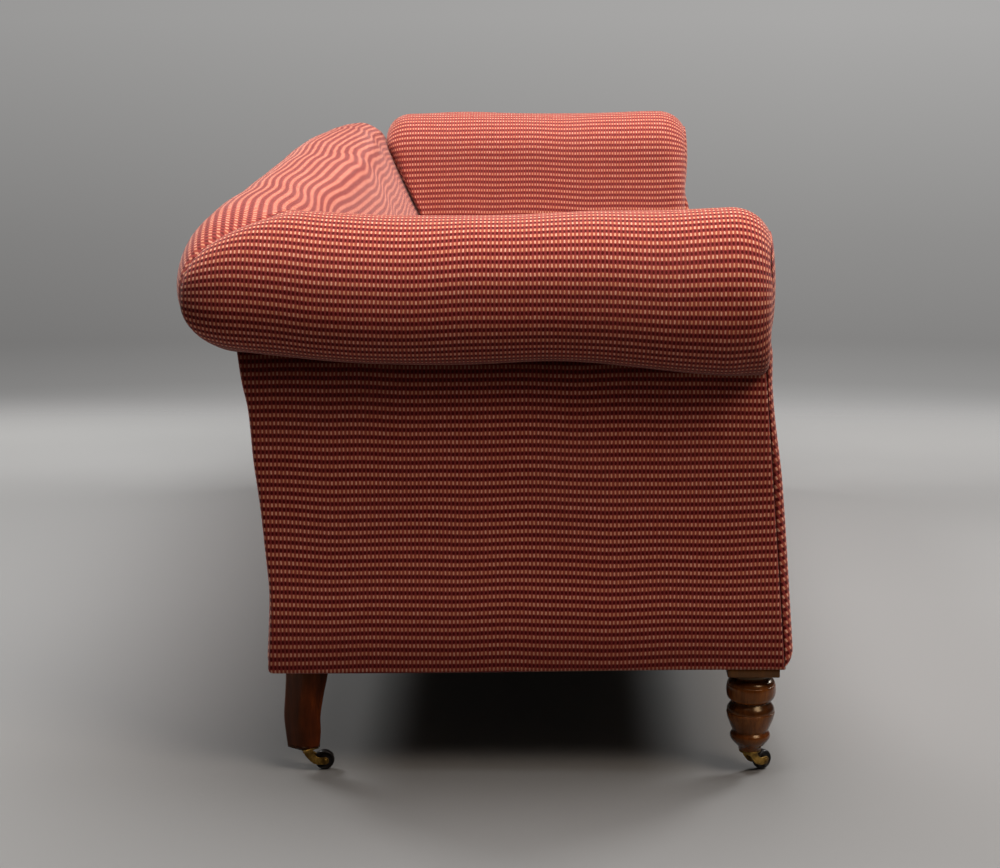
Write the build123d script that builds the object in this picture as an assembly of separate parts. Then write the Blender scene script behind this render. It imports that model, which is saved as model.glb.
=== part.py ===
"""Roll-arm sofa with a fixed left arm and a drop arm at the right end.

Millimetres, +Z up. X runs along the length: the fixed arm is at -X and the drop arm at +X. The sofa
faces -Y. The origin is on the floor under the middle of the overall box.
"""

import os
from math import atan2, cos, degrees, pi, radians, sin, sqrt, tan

from build123d import *

# ---- Overall size -------------------------------------------------------------------------------
overall_length = 1880.0
overall_depth = 770.0
overall_height = 742.0
underside_height = 152.0  # lower edge of the covered frame above the floor

# ---- Upholstered outline ------------------------------------------------------------------------
arm_roll_radius = 95.0
back_roll_radius = 84.0
roll_overhang = 88.0  # arm roll beyond the outside cover of the arm
back_overhang = 107.0  # back roll beyond the foot of the outside back
front_rake = 4.9  # degrees, the front leans back as it rises
rear_rake = 4.2  # degrees, the outside back leans back as it rises
inside_arm_rake = 10.0  # degrees from upright
inside_back_rake = 24.8  # degrees from upright, above the waist
waist_rake = 12.0  # degrees from upright, below the waist
waist_height = 552.0
cover_thickness = 8.0  # stuffed outer covers
facing_thickness = 12.0
facing_inset = 2.0  # the front border stands this far behind the facings
corner_rounding = 80.0  # of the joined rolls, seen from above
arm_end_rounding = 35.0  # of the drop arm's rear end, seen from the side
soft_gap = 0.5  # between stuffed pieces on one body
drop_gap = 4.0  # between the drop arm and the fixed sofa

# ---- Seat ---------------------------------------------------------------------------------------
border_height = 395.0
border_depth = 42.0
border_roll_radius = 26.0
seat_crown_height = 442.0
seat_edge_height = 418.0

# ---- Timber -------------------------------------------------------------------------------------
timber = 30.0
seat_rail_depth = 100.0
cross_rail_depth = 60.0
post_width = 45.0
corner_block_side = 60.0
corner_block_height = 60.0
arm_post_top = 620.0
back_post_top = 640.0
tacking_rail_height = 330.0
tacking_rail_depth = 40.0
arm_foot_rail_depth = 40.0
middle_post_width = 40.0

# ---- Seat suspension ----------------------------------------------------------------------------
web_width = 50.0
web_thickness = 2.0
web_count_across = 9
web_count_along = 3
spring_row_count = 3
spring_column_count = 8
spring_end_radius = 34.0
spring_waist_radius = 20.0
spring_wire = 3.5
spring_side_count = 8
hessian_thickness = 6.0
bottom_cloth_thickness = 1.0
bottom_cloth_margin = 22.0  # the rail edge left bare round the bottom cloth

# ---- Legs ---------------------------------------------------------------------------------------
leg_inset = 34.0  # leg axis behind the outside arm cover
front_leg_inset = 44.0  # leg axis behind the foot of the facings
front_leg_block = 67.0
rear_leg_inset = 41.0  # foot of the rear leg in front of the foot of the outside back
leg_foot_height = 31.0
tenon_side = 20.0
tenon_length = 60.0
block_drop = 16.0
block_chamfer = 3.0
bun_height = 38.0
bun_radius = 32.3
neck_radius = 25.8
vase_height = 37.0
vase_radius = 31.6
waist_radius = 23.2
ring_height = 23.0
ring_radius = 26.6
ankle_radius = 17.0
foot_radius = 14.5
rear_leg_top_half = 27.3
rear_leg_foot_half = 20.5

# ---- Castors ------------------------------------------------------------------------------------
wheel_radius = 13.0
wheel_width = 11.0
castor_trail = 22.0
castor_gap = 0.3
cheek_thickness = 2.6
cheek_clearance = 0.5
horn_eye_radius = 5.6  # of the cheeks round the axle
crown_radius = 6.5
crown_height = 7.2
plate_thickness = 2.4
front_plate_radius = 14.0
rear_plate_side = 26.0
pintle_radius = 3.0
axle_radius = 2.2
running_clearance = 0.05
# Angle of each castor's trail from straight ahead (-Y), anticlockwise from above.
castor_turn = {"front_left": 38.0, "front_right": -24.0, "rear_left": 8.0, "rear_right": 20.0}

# ---- Drop-arm hinges ----------------------------------------------------------------------------
hinge_leaf = 3.0
hinge_leaf_gap = 0.6
hinge_radius = 5.0
hinge_pin_radius = 2.5
hinge_length = 80.0
hinge_knuckle_count = 3
hinge_knuckle_gap = 0.3
hinge_knuckle_room = 1.5  # between the leaves and the other leaf's knuckles
hinge_offset = 6.0  # hinge axis beyond the outside cover
hinge_cover_gap = 2.3  # the covers stop this far short of the hinge leaves

# ---- Worked out ---------------------------------------------------------------------------------
half_length = overall_length / 2
front_foot_y = -overall_depth / 2
rear_foot_y = overall_depth / 2 - back_overhang
arm_roll_x = half_length - arm_roll_radius
arm_roll_z = overall_height - arm_roll_radius
back_roll_y = overall_depth / 2 - back_roll_radius
back_roll_z = overall_height - back_roll_radius
side_x = half_length - roll_overhang
frame_x = side_x - cover_thickness
frame_inner_x = frame_x - timber
rail_top = underside_height + seat_rail_depth
front_frame = facing_thickness  # depths behind the raked front face
front_frame_inner = facing_thickness + timber
rear_frame = cover_thickness  # depths in front of the raked outside back
rear_frame_inner = cover_thickness + timber
seat_base = rail_top + hessian_thickness
hinge_x = side_x + hinge_offset
hinge_z = rail_top + hinge_leaf + hinge_leaf_gap / 2
drop_arm_base = rail_top + 2 * hinge_leaf + hinge_leaf_gap
front_leg_y = front_foot_y + front_leg_inset
rear_leg_y = rear_foot_y - rear_leg_inset
leg_x = side_x - leg_inset
far = 2 * overall_length  # longer than anything, for cutting tools


def front_y(z, depth=0.0):
    """The raked front face at height z, or a plane this deep behind it."""
    return front_foot_y + depth + (z - underside_height) * tan(radians(front_rake))


def rear_y(z, depth=0.0):
    """The raked outside back at height z, or a plane this deep in front of it."""
    return rear_foot_y - depth + (z - underside_height) * tan(radians(rear_rake))


def inside_arm_x(z):
    """Distance of an arm's inside face from the middle, at height z below the roll."""
    slope = radians(inside_arm_rake)
    tangent_x = arm_roll_x - arm_roll_radius * cos(slope)
    tangent_z = arm_roll_z + arm_roll_radius * sin(slope)
    return tangent_x - (tangent_z - z) * tan(slope)


def arm_tangent():
    """Where the inside face of an arm runs into its roll: distance from the middle, and height."""
    slope = radians(inside_arm_rake)
    return arm_roll_x - arm_roll_radius * cos(slope), arm_roll_z + arm_roll_radius * sin(slope)


def back_tangent():
    """Where the inside back runs into its roll: y and z."""
    slope = radians(inside_back_rake)
    return (
        back_roll_y - back_roll_radius * cos(slope),
        back_roll_z + back_roll_radius * sin(slope),
    )


def inside_back_y(z):
    """The inside back at height z: steeper below the waist."""
    tangent_y, tangent_z = back_tangent()
    waist_y = tangent_y - (tangent_z - waist_height) * tan(radians(inside_back_rake))
    if z >= waist_height:
        return tangent_y - (tangent_z - z) * tan(radians(inside_back_rake))
    return waist_y - (waist_height - z) * tan(radians(waist_rake))


# ---- Building blocks ----------------------------------------------------------------------------
def prism_x(outline, x0, x1):
    """A closed outline of (y, z) points carried along X."""
    face = Plane.YZ * make_face(Polyline(*outline, close=True))
    return Pos(x0, 0, 0) * extrude(face, amount=x1 - x0, dir=(1, 0, 0))


def prism_y(outline, y0, y1):
    """A closed outline of (x, z) points carried along Y."""
    face = Plane.XZ * make_face(Polyline(*outline, close=True))
    return Pos(0, y0, 0) * extrude(face, amount=y1 - y0, dir=(0, 1, 0))


def block(x0, x1, y0, y1, z0, z1):
    """A box between two corners."""
    return Pos((x0 + x1) / 2, (y0 + y1) / 2, (z0 + z1) / 2) * Box(x1 - x0, y1 - y0, z1 - z0)


def front_bar(x0, x1, z0, z1, depth0, depth1):
    """A bar along X that leans with the front."""
    outline = [
        (front_y(z0, depth0), z0),
        (front_y(z0, depth1), z0),
        (front_y(z1, depth1), z1),
        (front_y(z1, depth0), z1),
    ]
    return prism_x(outline, x0, x1)


def rear_bar(x0, x1, z0, z1, depth0, depth1):
    """A bar along X that leans with the outside back."""
    outline = [
        (rear_y(z0, depth1), z0),
        (rear_y(z0, depth0), z0),
        (rear_y(z1, depth0), z1),
        (rear_y(z1, depth1), z1),
    ]
    return prism_x(outline, x0, x1)


def side_bar(x0, x1, z0, z1, front_depth, rear_depth):
    """A bar along Y that ends on the front and rear rakes."""
    outline = [
        (front_y(z0, front_depth), z0),
        (rear_y(z0, rear_depth), z0),
        (rear_y(z1, rear_depth), z1),
        (front_y(z1, front_depth), z1),
    ]
    return prism_x(outline, x0, x1)


def behind_front(solid, depth):
    """The part of a solid that lies deeper than this behind the raked front."""
    low, high = 0.0, 2 * overall_height
    outline = [(front_y(low, depth), low), (far, low), (far, high), (front_y(high, depth), high)]
    return solid & prism_x(outline, -far, far)


def arm_section(side, inner_gap=0.0):
    """The (x, z) face of an arm inside its frame: stuffed wall and roll. side is -1 or 1."""
    tangent_x, tangent_z = arm_tangent()
    wall = [
        (side * frame_inner_x, seat_base),
        (side * (inside_arm_x(seat_base) + inner_gap), seat_base),
        (side * (tangent_x + inner_gap), tangent_z),
        (side * arm_roll_x, arm_roll_z),
        (side * frame_inner_x, arm_roll_z - arm_roll_radius / 2),
    ]
    return make_face(Polyline(*wall, close=True)) + Pos(side * arm_roll_x, arm_roll_z) * Circle(arm_roll_radius)


def back_section():
    """The (y, z) face of the inside back: stuffed wall and roll."""
    tangent_y, tangent_z = back_tangent()
    wall = [
        (rear_y(seat_base, rear_frame_inner), seat_base),
        (inside_back_y(seat_base), seat_base),
        (inside_back_y(waist_height), waist_height),
        (tangent_y, tangent_z),
        (back_roll_y, back_roll_z),
        (rear_y(back_roll_z - back_roll_radius / 2, rear_frame_inner), back_roll_z - back_roll_radius / 2),
    ]
    return make_face(Polyline(*wall, close=True)) + Pos(back_roll_y, back_roll_z) * Circle(back_roll_radius)


def rounded_plan():
    """A tall prism over the plan, with the corner where the two rolls join rounded."""
    plan = Rectangle(overall_length, overall_depth)
    corner = plan.vertices().sort_by(Axis.Y)[-2:].sort_by(Axis.X)[0]
    return extrude(fillet(corner, corner_rounding), amount=2 * overall_height, dir=(0, 0, 1))


def mitre_side(for_back):
    """The half of space on the back's or the arm's side of the mitre between the two rolls."""
    corner_x, corner_y = -half_length, overall_depth / 2
    ends = [(corner_x - far, corner_y + far), (corner_x + far, corner_y - far)]
    third = (far, far) if for_back else (-far, -far)
    face = make_face(Polyline(*ends, third, close=True))
    return extrude(face, amount=2 * overall_height, dir=(0, 0, 1))


def drop_arm_outline(rear_depth, z0, z1=None):
    """The (y, z) side outline of the drop arm, its rear following the inside back."""
    top = overall_height if z1 is None else z1
    tangent_y, tangent_z = back_tangent()

    def rear(z):
        return inside_back_y(min(z, tangent_z)) - drop_gap - rear_depth

    heights = [z for z in (waist_height, tangent_z) if z0 < z < top]
    rear_points = [(rear(z), z) for z in [z0, *heights, top]]
    return [(front_y(z0, facing_thickness), z0), *rear_points, (front_y(top, facing_thickness), top)]


# ---- Frame --------------------------------------------------------------------------------------
def leg_tenon(x, y):
    """The square tenon of a leg, where it enters the frame."""
    return Pos(x, y, underside_height + tenon_length / 2) * Box(tenon_side, tenon_side, tenon_length)


def all_tenons():
    """The tenons of the four legs."""
    spots = [(side * leg_x, y) for side in (-1, 1) for y in (front_leg_y, rear_leg_y)]
    return [leg_tenon(x, y) for x, y in spots]


def seat_rails():
    """The four seat rails with the leg tenons bored, and the middle cross rail."""
    z0, z1 = underside_height, rail_top
    rails = {
        "front_seat_rail": front_bar(
            -frame_inner_x, frame_inner_x, z0, z1, front_frame, front_frame_inner
        ),
        "rear_seat_rail": rear_bar(-frame_inner_x, frame_inner_x, z0, z1, rear_frame, rear_frame_inner),
        "left_seat_rail": side_bar(-frame_x, -frame_inner_x, z0, z1, front_frame, rear_frame),
        "right_seat_rail": side_bar(frame_inner_x, frame_x, z0, z1, front_frame, rear_frame),
    }
    for name in rails:
        for tenon in all_tenons():
            rails[name] = rails[name] - tenon
    rails["middle_cross_rail"] = side_bar(
        -timber / 2,
        timber / 2,
        underside_height + web_thickness * 2,
        underside_height + web_thickness * 2 + cross_rail_depth,
        front_frame_inner,
        rear_frame_inner,
    )
    return rails


def corner_blocks():
    """Four glued triangular blocks in the corners of the seat rails."""
    blocks = []
    z0 = underside_height + 2 * web_thickness
    for side in (-1, 1):
        x_corner, x_end = side * frame_inner_x, side * (frame_inner_x - corner_block_side)
        for y_corner, toward in (
            (front_y(rail_top, front_frame_inner), 1),
            (rear_y(underside_height, rear_frame_inner), -1),
        ):
            plan = Polyline(
                (x_corner, y_corner),
                (x_end, y_corner),
                (x_corner, y_corner + toward * corner_block_side),
                close=True,
            )
            body = Pos(0, 0, z0) * extrude(make_face(plan), amount=corner_block_height, dir=(0, 0, 1))
            for tenon in all_tenons():
                body = body - tenon
            blocks.append(body)
    return Compound(children=blocks)


def back_frame():
    """Rear posts, middle post, top rail and tacking rail of the back."""
    tacking_top = tacking_rail_height + tacking_rail_depth
    top_rail_foot = back_post_top - timber
    return {
        "rear_post_left": rear_bar(
            -frame_x, -frame_inner_x, rail_top, back_post_top, rear_frame, rear_frame_inner
        ),
        "rear_post_right": rear_bar(
            frame_inner_x, frame_x, rail_top, back_post_top, rear_frame, rear_frame_inner
        ),
        "back_middle_post": rear_bar(
            -middle_post_width / 2,
            middle_post_width / 2,
            tacking_top,
            top_rail_foot,
            rear_frame,
            rear_frame_inner,
        ),
        "back_top_rail": rear_bar(
            -frame_inner_x, frame_inner_x, top_rail_foot, back_post_top, rear_frame, rear_frame_inner
        ),
        "back_tacking_rail": rear_bar(
            -frame_inner_x, frame_inner_x, tacking_rail_height, tacking_top, rear_frame, rear_frame_inner
        ),
    }


def fixed_arm_frame():
    """Front post, top rail and tacking rail of the fixed arm."""
    post_inner = front_frame + post_width
    x0, x1 = -frame_x, -frame_inner_x
    tacking_top = tacking_rail_height + tacking_rail_depth
    return {
        "fixed_arm_front_post": front_bar(x0, x1, rail_top, arm_post_top, front_frame, post_inner),
        "fixed_arm_top_rail": side_bar(
            x0, x1, arm_post_top - timber, arm_post_top, post_inner, rear_frame_inner
        ),
        "fixed_arm_tacking_rail": side_bar(
            x0, x1, tacking_rail_height, tacking_top, post_inner, rear_frame_inner
        ),
    }


def drop_arm_frame():
    """The hinged arm's frame: front and rear stiles, foot rail and top rail."""
    x0, x1 = frame_inner_x, frame_x
    front_stile = front_bar(
        x0, x1, drop_arm_base, arm_post_top, front_frame, front_frame + post_width
    )
    outer = prism_x(drop_arm_outline(cover_thickness, drop_arm_base, arm_post_top), x0, x1)
    inner = prism_x(drop_arm_outline(cover_thickness + post_width, drop_arm_base, arm_post_top), x0, x1)
    between = behind_front(inner, front_frame + post_width)
    foot_band = block(x0, x1, -far, far, drop_arm_base, drop_arm_base + arm_foot_rail_depth)
    top_band = block(x0, x1, -far, far, arm_post_top - timber, arm_post_top)
    return {
        "drop_arm_front_stile": front_stile,
        "drop_arm_rear_stile": outer - inner,
        "drop_arm_foot_rail": between & foot_band,
        "drop_arm_top_rail": between & top_band,
    }


# ---- Seat ---------------------------------------------------------------------------------------
def even_places(count, low, high, width):
    """Centres of count pieces of one width, spread evenly between two limits."""
    gap = (high - low - count * width) / (count + 1)
    return [low + gap + width / 2 + i * (width + gap) for i in range(count)]


def seat_webbing():
    """Jute webs tacked under the seat rails: one layer across, one along."""
    y0 = front_y(rail_top, front_frame_inner) - 1
    y1 = rear_y(underside_height, rear_frame_inner)
    z = underside_height
    webs = []
    for x in even_places(web_count_across, -frame_inner_x, frame_inner_x, web_width):
        webs.append(block(x - web_width / 2, x + web_width / 2, y0, y1, z, z + web_thickness))
    for y in even_places(web_count_along, y0, y1, web_width):
        webs.append(
            block(
                -frame_inner_x,
                frame_inner_x,
                y - web_width / 2,
                y + web_width / 2,
                z + web_thickness,
                z + 2 * web_thickness,
            )
        )
    fused = webs[0]
    for web in webs[1:]:
        fused = fused + web
    return fused


def hourglass(end_radius, middle_radius, height):
    """A many-sided solid standing on the floor plane, narrower at its middle."""
    half = height / 2
    inward = (end_radius - middle_radius) * cos(pi / spring_side_count)
    lean = degrees(atan2(inward, half))
    lower = extrude(RegularPolygon(end_radius, spring_side_count), amount=half, taper=lean)
    return lower + Pos(0, 0, half) * mirror(Pos(0, 0, -half) * lower, about=Plane.XY)


def coil_spring(height):
    """One waisted seat spring, as the thin sleeve that its coils lie on."""
    inner = hourglass(spring_end_radius - spring_wire, spring_waist_radius - spring_wire, height)
    return hourglass(spring_end_radius, spring_waist_radius, height) - inner


def seat_springs():
    """Rows of springs standing on the webs, under the hessian."""
    foot = underside_height + 2 * web_thickness
    y0 = front_y(rail_top, front_frame_inner)
    y1 = rear_y(underside_height, rear_frame_inner)
    spring = coil_spring(rail_top - foot)
    width = 2 * spring_end_radius
    half = spring_column_count // 2
    columns = even_places(half, timber / 2, frame_inner_x, width)
    places = [-x for x in reversed(columns)] + columns
    springs = [
        Pos(x, y, foot) * spring
        for x in places
        for y in even_places(spring_row_count, y0, y1, width)
    ]
    return Compound(children=springs)


def spring_hessian():
    """Hessian stretched over the springs and tacked to the top of the rails."""
    return side_bar(-frame_inner_x, frame_inner_x, rail_top, seat_base, front_frame_inner, rear_frame)


def seat_pad():
    """The stuffed and sprung seat between the arms, crowned, ends raked with the arms."""
    front = front_y(border_height, border_depth) + border_roll_radius
    rear = inside_back_y(seat_base) - soft_gap
    rear_top = inside_back_y(seat_edge_height) - soft_gap
    middle = (front + rear_top) / 2
    profile = (
        Polyline(
            (front, seat_edge_height), (front, seat_base), (rear, seat_base), (rear_top, seat_edge_height)
        )
        + ThreePointArc((rear_top, seat_edge_height), (middle, seat_crown_height), (front, seat_edge_height))
    )
    body = Pos(-half_length, 0, 0) * extrude(
        Plane.YZ * make_face(profile), amount=overall_length, dir=(1, 0, 0)
    )
    low, high = 0.0, overall_height
    ends = [
        (-inside_arm_x(low) + soft_gap, low),
        (inside_arm_x(low) - drop_gap, low),
        (inside_arm_x(high) - drop_gap, high),
        (-inside_arm_x(high) + soft_gap, high),
    ]
    return body & prism_y(ends, -far, far)


def front_border():
    """The covered front between the facings, with a rolled edge along its top."""
    z0, z1 = underside_height, border_height
    outline = [
        (front_y(z0, facing_inset), z0),
        (front_y(z0, front_frame), z0),
        (front_y(rail_top, front_frame), rail_top),
        (front_y(rail_top, front_frame_inner), rail_top),
        (front_y(z1, border_depth), z1),
        (front_y(z1, facing_inset), z1),
    ]
    roll_y = front_y(z1, facing_inset) + border_roll_radius
    face = make_face(Polyline(*outline, close=True)) + Pos(roll_y, z1) * Circle(border_roll_radius)
    x0 = -inside_arm_x(seat_base) + soft_gap
    x1 = inside_arm_x(seat_base) - drop_gap
    return Pos(x0, 0, 0) * extrude(Plane.YZ * face, amount=x1 - x0, dir=(1, 0, 0))


def bottom_cloth():
    """Dust cloth tacked under the frame, inside its edge."""
    y0 = front_foot_y + front_frame + bottom_cloth_margin
    y1 = rear_foot_y - rear_frame - bottom_cloth_margin
    x1 = frame_x - bottom_cloth_margin
    z1 = underside_height
    sheet = block(-x1, x1, y0, y1, z1 - bottom_cloth_thickness, z1)
    for side in (-1, 1):
        for y in (front_leg_y, rear_leg_y):
            room = front_leg_block + 2
            sheet = sheet - Pos(side * leg_x, y, z1) * Box(room, room, timber)
    return sheet


# ---- Inside covers with their stuffing ----------------------------------------------------------
def arm_frame_room(side, z0):
    """The space of an arm's timber inside its stuffing."""
    x0, x1 = sorted((side * frame_inner_x, side * (frame_x + cover_thickness / 2)))
    return block(x0, x1, -far, far, z0, arm_post_top)


def back_frame_room():
    """The space of the back's timber inside its stuffing."""
    return rear_bar(-far, far, 0, back_post_top, -1, rear_frame_inner)


def fixed_arm_pad():
    """Inside of the fixed arm with its roll, mitred to the back roll."""
    body = Pos(0, -far, 0) * extrude(Plane.XZ * arm_section(-1), amount=2 * far, dir=(0, 1, 0))
    body = behind_front(body, facing_thickness) & mitre_side(for_back=False) & rounded_plan()
    return body - arm_frame_room(-1, 0) - back_frame_room()


def back_pad():
    """Inside back with its roll, from the mitre to its end facing at the drop arm."""
    body = Pos(-far, 0, 0) * extrude(
        Plane.YZ * back_section(), amount=far + frame_x, dir=(1, 0, 0)
    )
    body = body & mitre_side(for_back=True) & rounded_plan()
    return body - arm_frame_room(-1, 0) - back_frame_room()


def drop_arm_pad():
    """Inside of the drop arm with its roll, its rear end shaped to the inside back."""
    body = Pos(0, -far, 0) * extrude(Plane.XZ * arm_section(1), amount=2 * far, dir=(0, 1, 0))
    side = make_face(Polyline(*drop_arm_outline(0.0, seat_base - 1), close=True))
    corner = side.vertices().group_by(Axis.Y)[-1].sort_by(Axis.Z)[-1]
    side = fillet(corner, arm_end_rounding)
    body = body & extrude(Plane.YZ * side, amount=far, dir=(1, 0, 0))
    body = body - block(0, far, -far, far, 0, drop_arm_base)
    return body - arm_frame_room(1, 0)


# ---- Outside covers -----------------------------------------------------------------------------
def roll_foot(distance):
    """Height of the arm roll's underside at this distance from the middle, less a soft gap."""
    aside = distance - arm_roll_x
    return arm_roll_z - sqrt(arm_roll_radius**2 - aside**2) - soft_gap


def fixed_arm_outside():
    """Outside cover of the fixed arm, from the underside up to the roll."""
    return side_bar(-side_x, -frame_x, underside_height, roll_foot(frame_x), facing_thickness, 0)


def outside_back():
    """Outside cover of the back, up to the roll."""
    top = back_roll_z - back_roll_radius - soft_gap
    return rear_bar(-frame_x, frame_x, underside_height, top, 0, cover_thickness)


def right_rail_cover():
    """Cover of the right seat rail, under the drop arm."""
    return side_bar(
        frame_x, side_x, underside_height, rail_top - hinge_cover_gap, facing_thickness, 0
    )


def drop_arm_outside():
    """Outside cover of the drop arm, from the hinges up to its roll."""
    z0 = drop_arm_base + hinge_cover_gap
    return prism_x(drop_arm_outline(0.0, z0, roll_foot(frame_x)), frame_x, side_x)


def back_end_facing():
    """Stuffed facing that closes the end of the back beside the drop arm."""
    x1 = side_x + cover_thickness
    roll = Pos(frame_x, 0, 0) * extrude(Plane.YZ * back_section(), amount=x1 - frame_x, dir=(1, 0, 0))
    z0 = rail_top + 2 * hinge_leaf
    z1 = back_roll_z
    wall = [
        (inside_back_y(z0), z0),
        (rear_y(z0), z0),
        (rear_y(z1 - back_roll_radius), z1 - back_roll_radius),
        (rear_y(z1), z1),
        (inside_back_y(z1) + back_roll_radius / 4, z1),
        (inside_back_y(waist_height), waist_height),
    ]
    return roll + prism_x(wall, frame_x, x1)


def facing_outline(side, z0):
    """The (x, z) face of an arm's front facing from z0 to the top of the roll."""
    tangent_x, tangent_z = arm_tangent()
    inner = [(side * inside_arm_x(seat_base), seat_base)] if z0 < seat_base else []
    foot_x = inside_arm_x(max(z0, seat_base))
    wall = [
        (side * side_x, z0),
        (side * foot_x, z0),
        *inner,
        (side * tangent_x, tangent_z),
        (side * side_x, tangent_z),
    ]
    return make_face(Polyline(*wall, close=True)) + Pos(side * arm_roll_x, arm_roll_z) * Circle(arm_roll_radius)


def leaning_front(face_2d, thickness):
    """A plate of this (x, z) outline that leans with the front face."""
    plate = extrude(Plane.XZ * face_2d, amount=2 * overall_depth, dir=(0, 1, 0))
    plate = Pos(0, -overall_depth, 0) * plate
    return behind_front(plate, 0) - behind_front(plate, thickness)


def arm_facings():
    """Front facings: the fixed arm's full one, the drop arm's, and the lower one below it."""
    lower = make_face(
        Polyline(
            (inside_arm_x(seat_base), underside_height),
            (side_x, underside_height),
            (side_x, rail_top - hinge_cover_gap),
            (inside_arm_x(seat_base), rail_top - hinge_cover_gap),
            close=True,
        )
    )
    return {
        "fixed_arm_facing": leaning_front(facing_outline(-1, underside_height), facing_thickness),
        "drop_arm_facing": leaning_front(
            facing_outline(1, drop_arm_base + hinge_cover_gap), facing_thickness
        ),
        "drop_end_lower_facing": leaning_front(lower, facing_thickness),
    }


# ---- Drop-arm hinges ----------------------------------------------------------------------------
def hinge_places():
    """The middle of each hinge along Y, one at either end of the drop arm's foot rail."""
    front = front_y(drop_arm_base, front_frame + post_width)
    rear = inside_back_y(drop_arm_base) - drop_gap - cover_thickness - post_width
    return front + hinge_length / 2, rear - hinge_length / 2


def hinge_rod(y, radius, length):
    """A round piece on the hinge axis."""
    return Pos(hinge_x, y, hinge_z) * Rot(90, 0, 0) * Cylinder(radius, length)


def hinge_leaf_part(y, on_arm):
    """One hinge leaf with its knuckles: the outer ones on the rail, those between on the arm."""
    z0 = rail_top + (hinge_leaf + hinge_leaf_gap if on_arm else 0)
    y0 = y - hinge_length / 2
    pitch = hinge_length / hinge_knuckle_count
    plate_edge = hinge_x - hinge_radius - hinge_knuckle_room
    leaf = block(frame_inner_x, plate_edge, y0, y0 + hinge_length, z0, z0 + hinge_leaf)
    for index in range(int(on_arm), hinge_knuckle_count, 2):
        low = y0 + index * pitch + hinge_knuckle_gap / 2
        high = y0 + (index + 1) * pitch - hinge_knuckle_gap / 2
        neck = block(plate_edge, hinge_x, low, high, z0, z0 + hinge_leaf)
        leaf = leaf + neck + hinge_rod((low + high) / 2, hinge_radius, high - low)
    return leaf


def drop_arm_hinges():
    """The two hinges that the arm lowers on: leaves on the rail with their pins, leaves on the arm."""
    rail_leaves = []
    arm_leaves = []
    for y in hinge_places():
        pin_length = hinge_length - hinge_knuckle_gap
        rail_leaves.append(hinge_leaf_part(y, False) + hinge_rod(y, hinge_pin_radius, pin_length))
        bore = hinge_rod(y, hinge_pin_radius + running_clearance, 2 * hinge_length)
        arm_leaves.append(hinge_leaf_part(y, True) - bore)
    return {
        "hinge_rail_leaves": Compound(children=rail_leaves),
        "hinge_arm_leaves": Compound(children=arm_leaves),
    }


# ---- Legs ---------------------------------------------------------------------------------------
def swelling(top, height, radii, peak_share, steps):
    """Profile points (radius, z) of a turned swelling, from its top down, without its last point."""
    top_radius, peak_radius, bottom_radius = radii
    points = []
    for step in range(steps):
        share = step / steps
        if share < peak_share:
            end_radius, rise = top_radius, sin(pi / 2 * share / peak_share)
        else:
            end_radius, rise = bottom_radius, cos(pi / 2 * (share - peak_share) / (1 - peak_share))
        points.append((end_radius + (peak_radius - end_radius) * rise, top - share * height))
    return points


def turned_leg():
    """A turned front leg about the Z axis: square block, bun, vase, ring and tapered foot."""
    block_foot = underside_height - block_drop
    vase_top = block_foot - bun_height
    ring_top = vase_top - vase_height
    ankle = ring_top - ring_height
    profile = [
        *swelling(block_foot, bun_height, (neck_radius, bun_radius, neck_radius), 0.5, 2),
        *swelling(vase_top, vase_height, (neck_radius, vase_radius, waist_radius), 1 / 3, 3),
        *swelling(ring_top, ring_height, (waist_radius, ring_radius, ankle_radius), 0.5, 2),
        (ankle_radius, ankle),
        (foot_radius, leg_foot_height),
    ]
    turning = Polyline((0, block_foot), *profile, (0, leg_foot_height), close=True)
    square = Pos(0, 0, block_foot + block_drop / 2) * Box(front_leg_block, front_leg_block, block_drop)
    square = chamfer(square.edges().filter_by(Axis.Z), block_chamfer)
    return revolve(Plane.XZ * make_face(turning), axis=Axis.Z) + square + leg_tenon(0, 0)


def swept_leg():
    """A square rear leg set cornerwise, swept back and thinned towards its foot."""
    span = underside_height - leg_foot_height
    stations = (
        (0.0, 0.0, rear_leg_foot_half),
        (0.19, 1.5, 22.9),
        (0.36, 2.5, 24.2),
        (0.58, -0.5, 25.4),
        (1.0, -4.5, rear_leg_top_half),
    )
    sections = []
    for share, shift, half in stations:
        side = half * sqrt(2)
        place = Plane((0, shift, leg_foot_height + share * span))
        sections.append(place * Rectangle(side, side, rotation=45))
    return loft(sections, ruled=True) + leg_tenon(0, 0)


# ---- Castors ------------------------------------------------------------------------------------
crown_top = leg_foot_height - plate_thickness - castor_gap
crown_foot = crown_top - crown_height
cheek_inner = wheel_width / 2 + cheek_clearance
cheek_outer = cheek_inner + cheek_thickness


def castor_plate(plate):
    """The plate screwed under a leg, with its riveted pintle. plate is its outline."""
    body = Pos(0, 0, leg_foot_height - plate_thickness) * extrude(plate, amount=plate_thickness, dir=(0, 0, 1))
    pintle_length = leg_foot_height - crown_foot
    return body + Pos(0, 0, crown_foot + pintle_length / 2) * Cylinder(pintle_radius, pintle_length)


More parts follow.
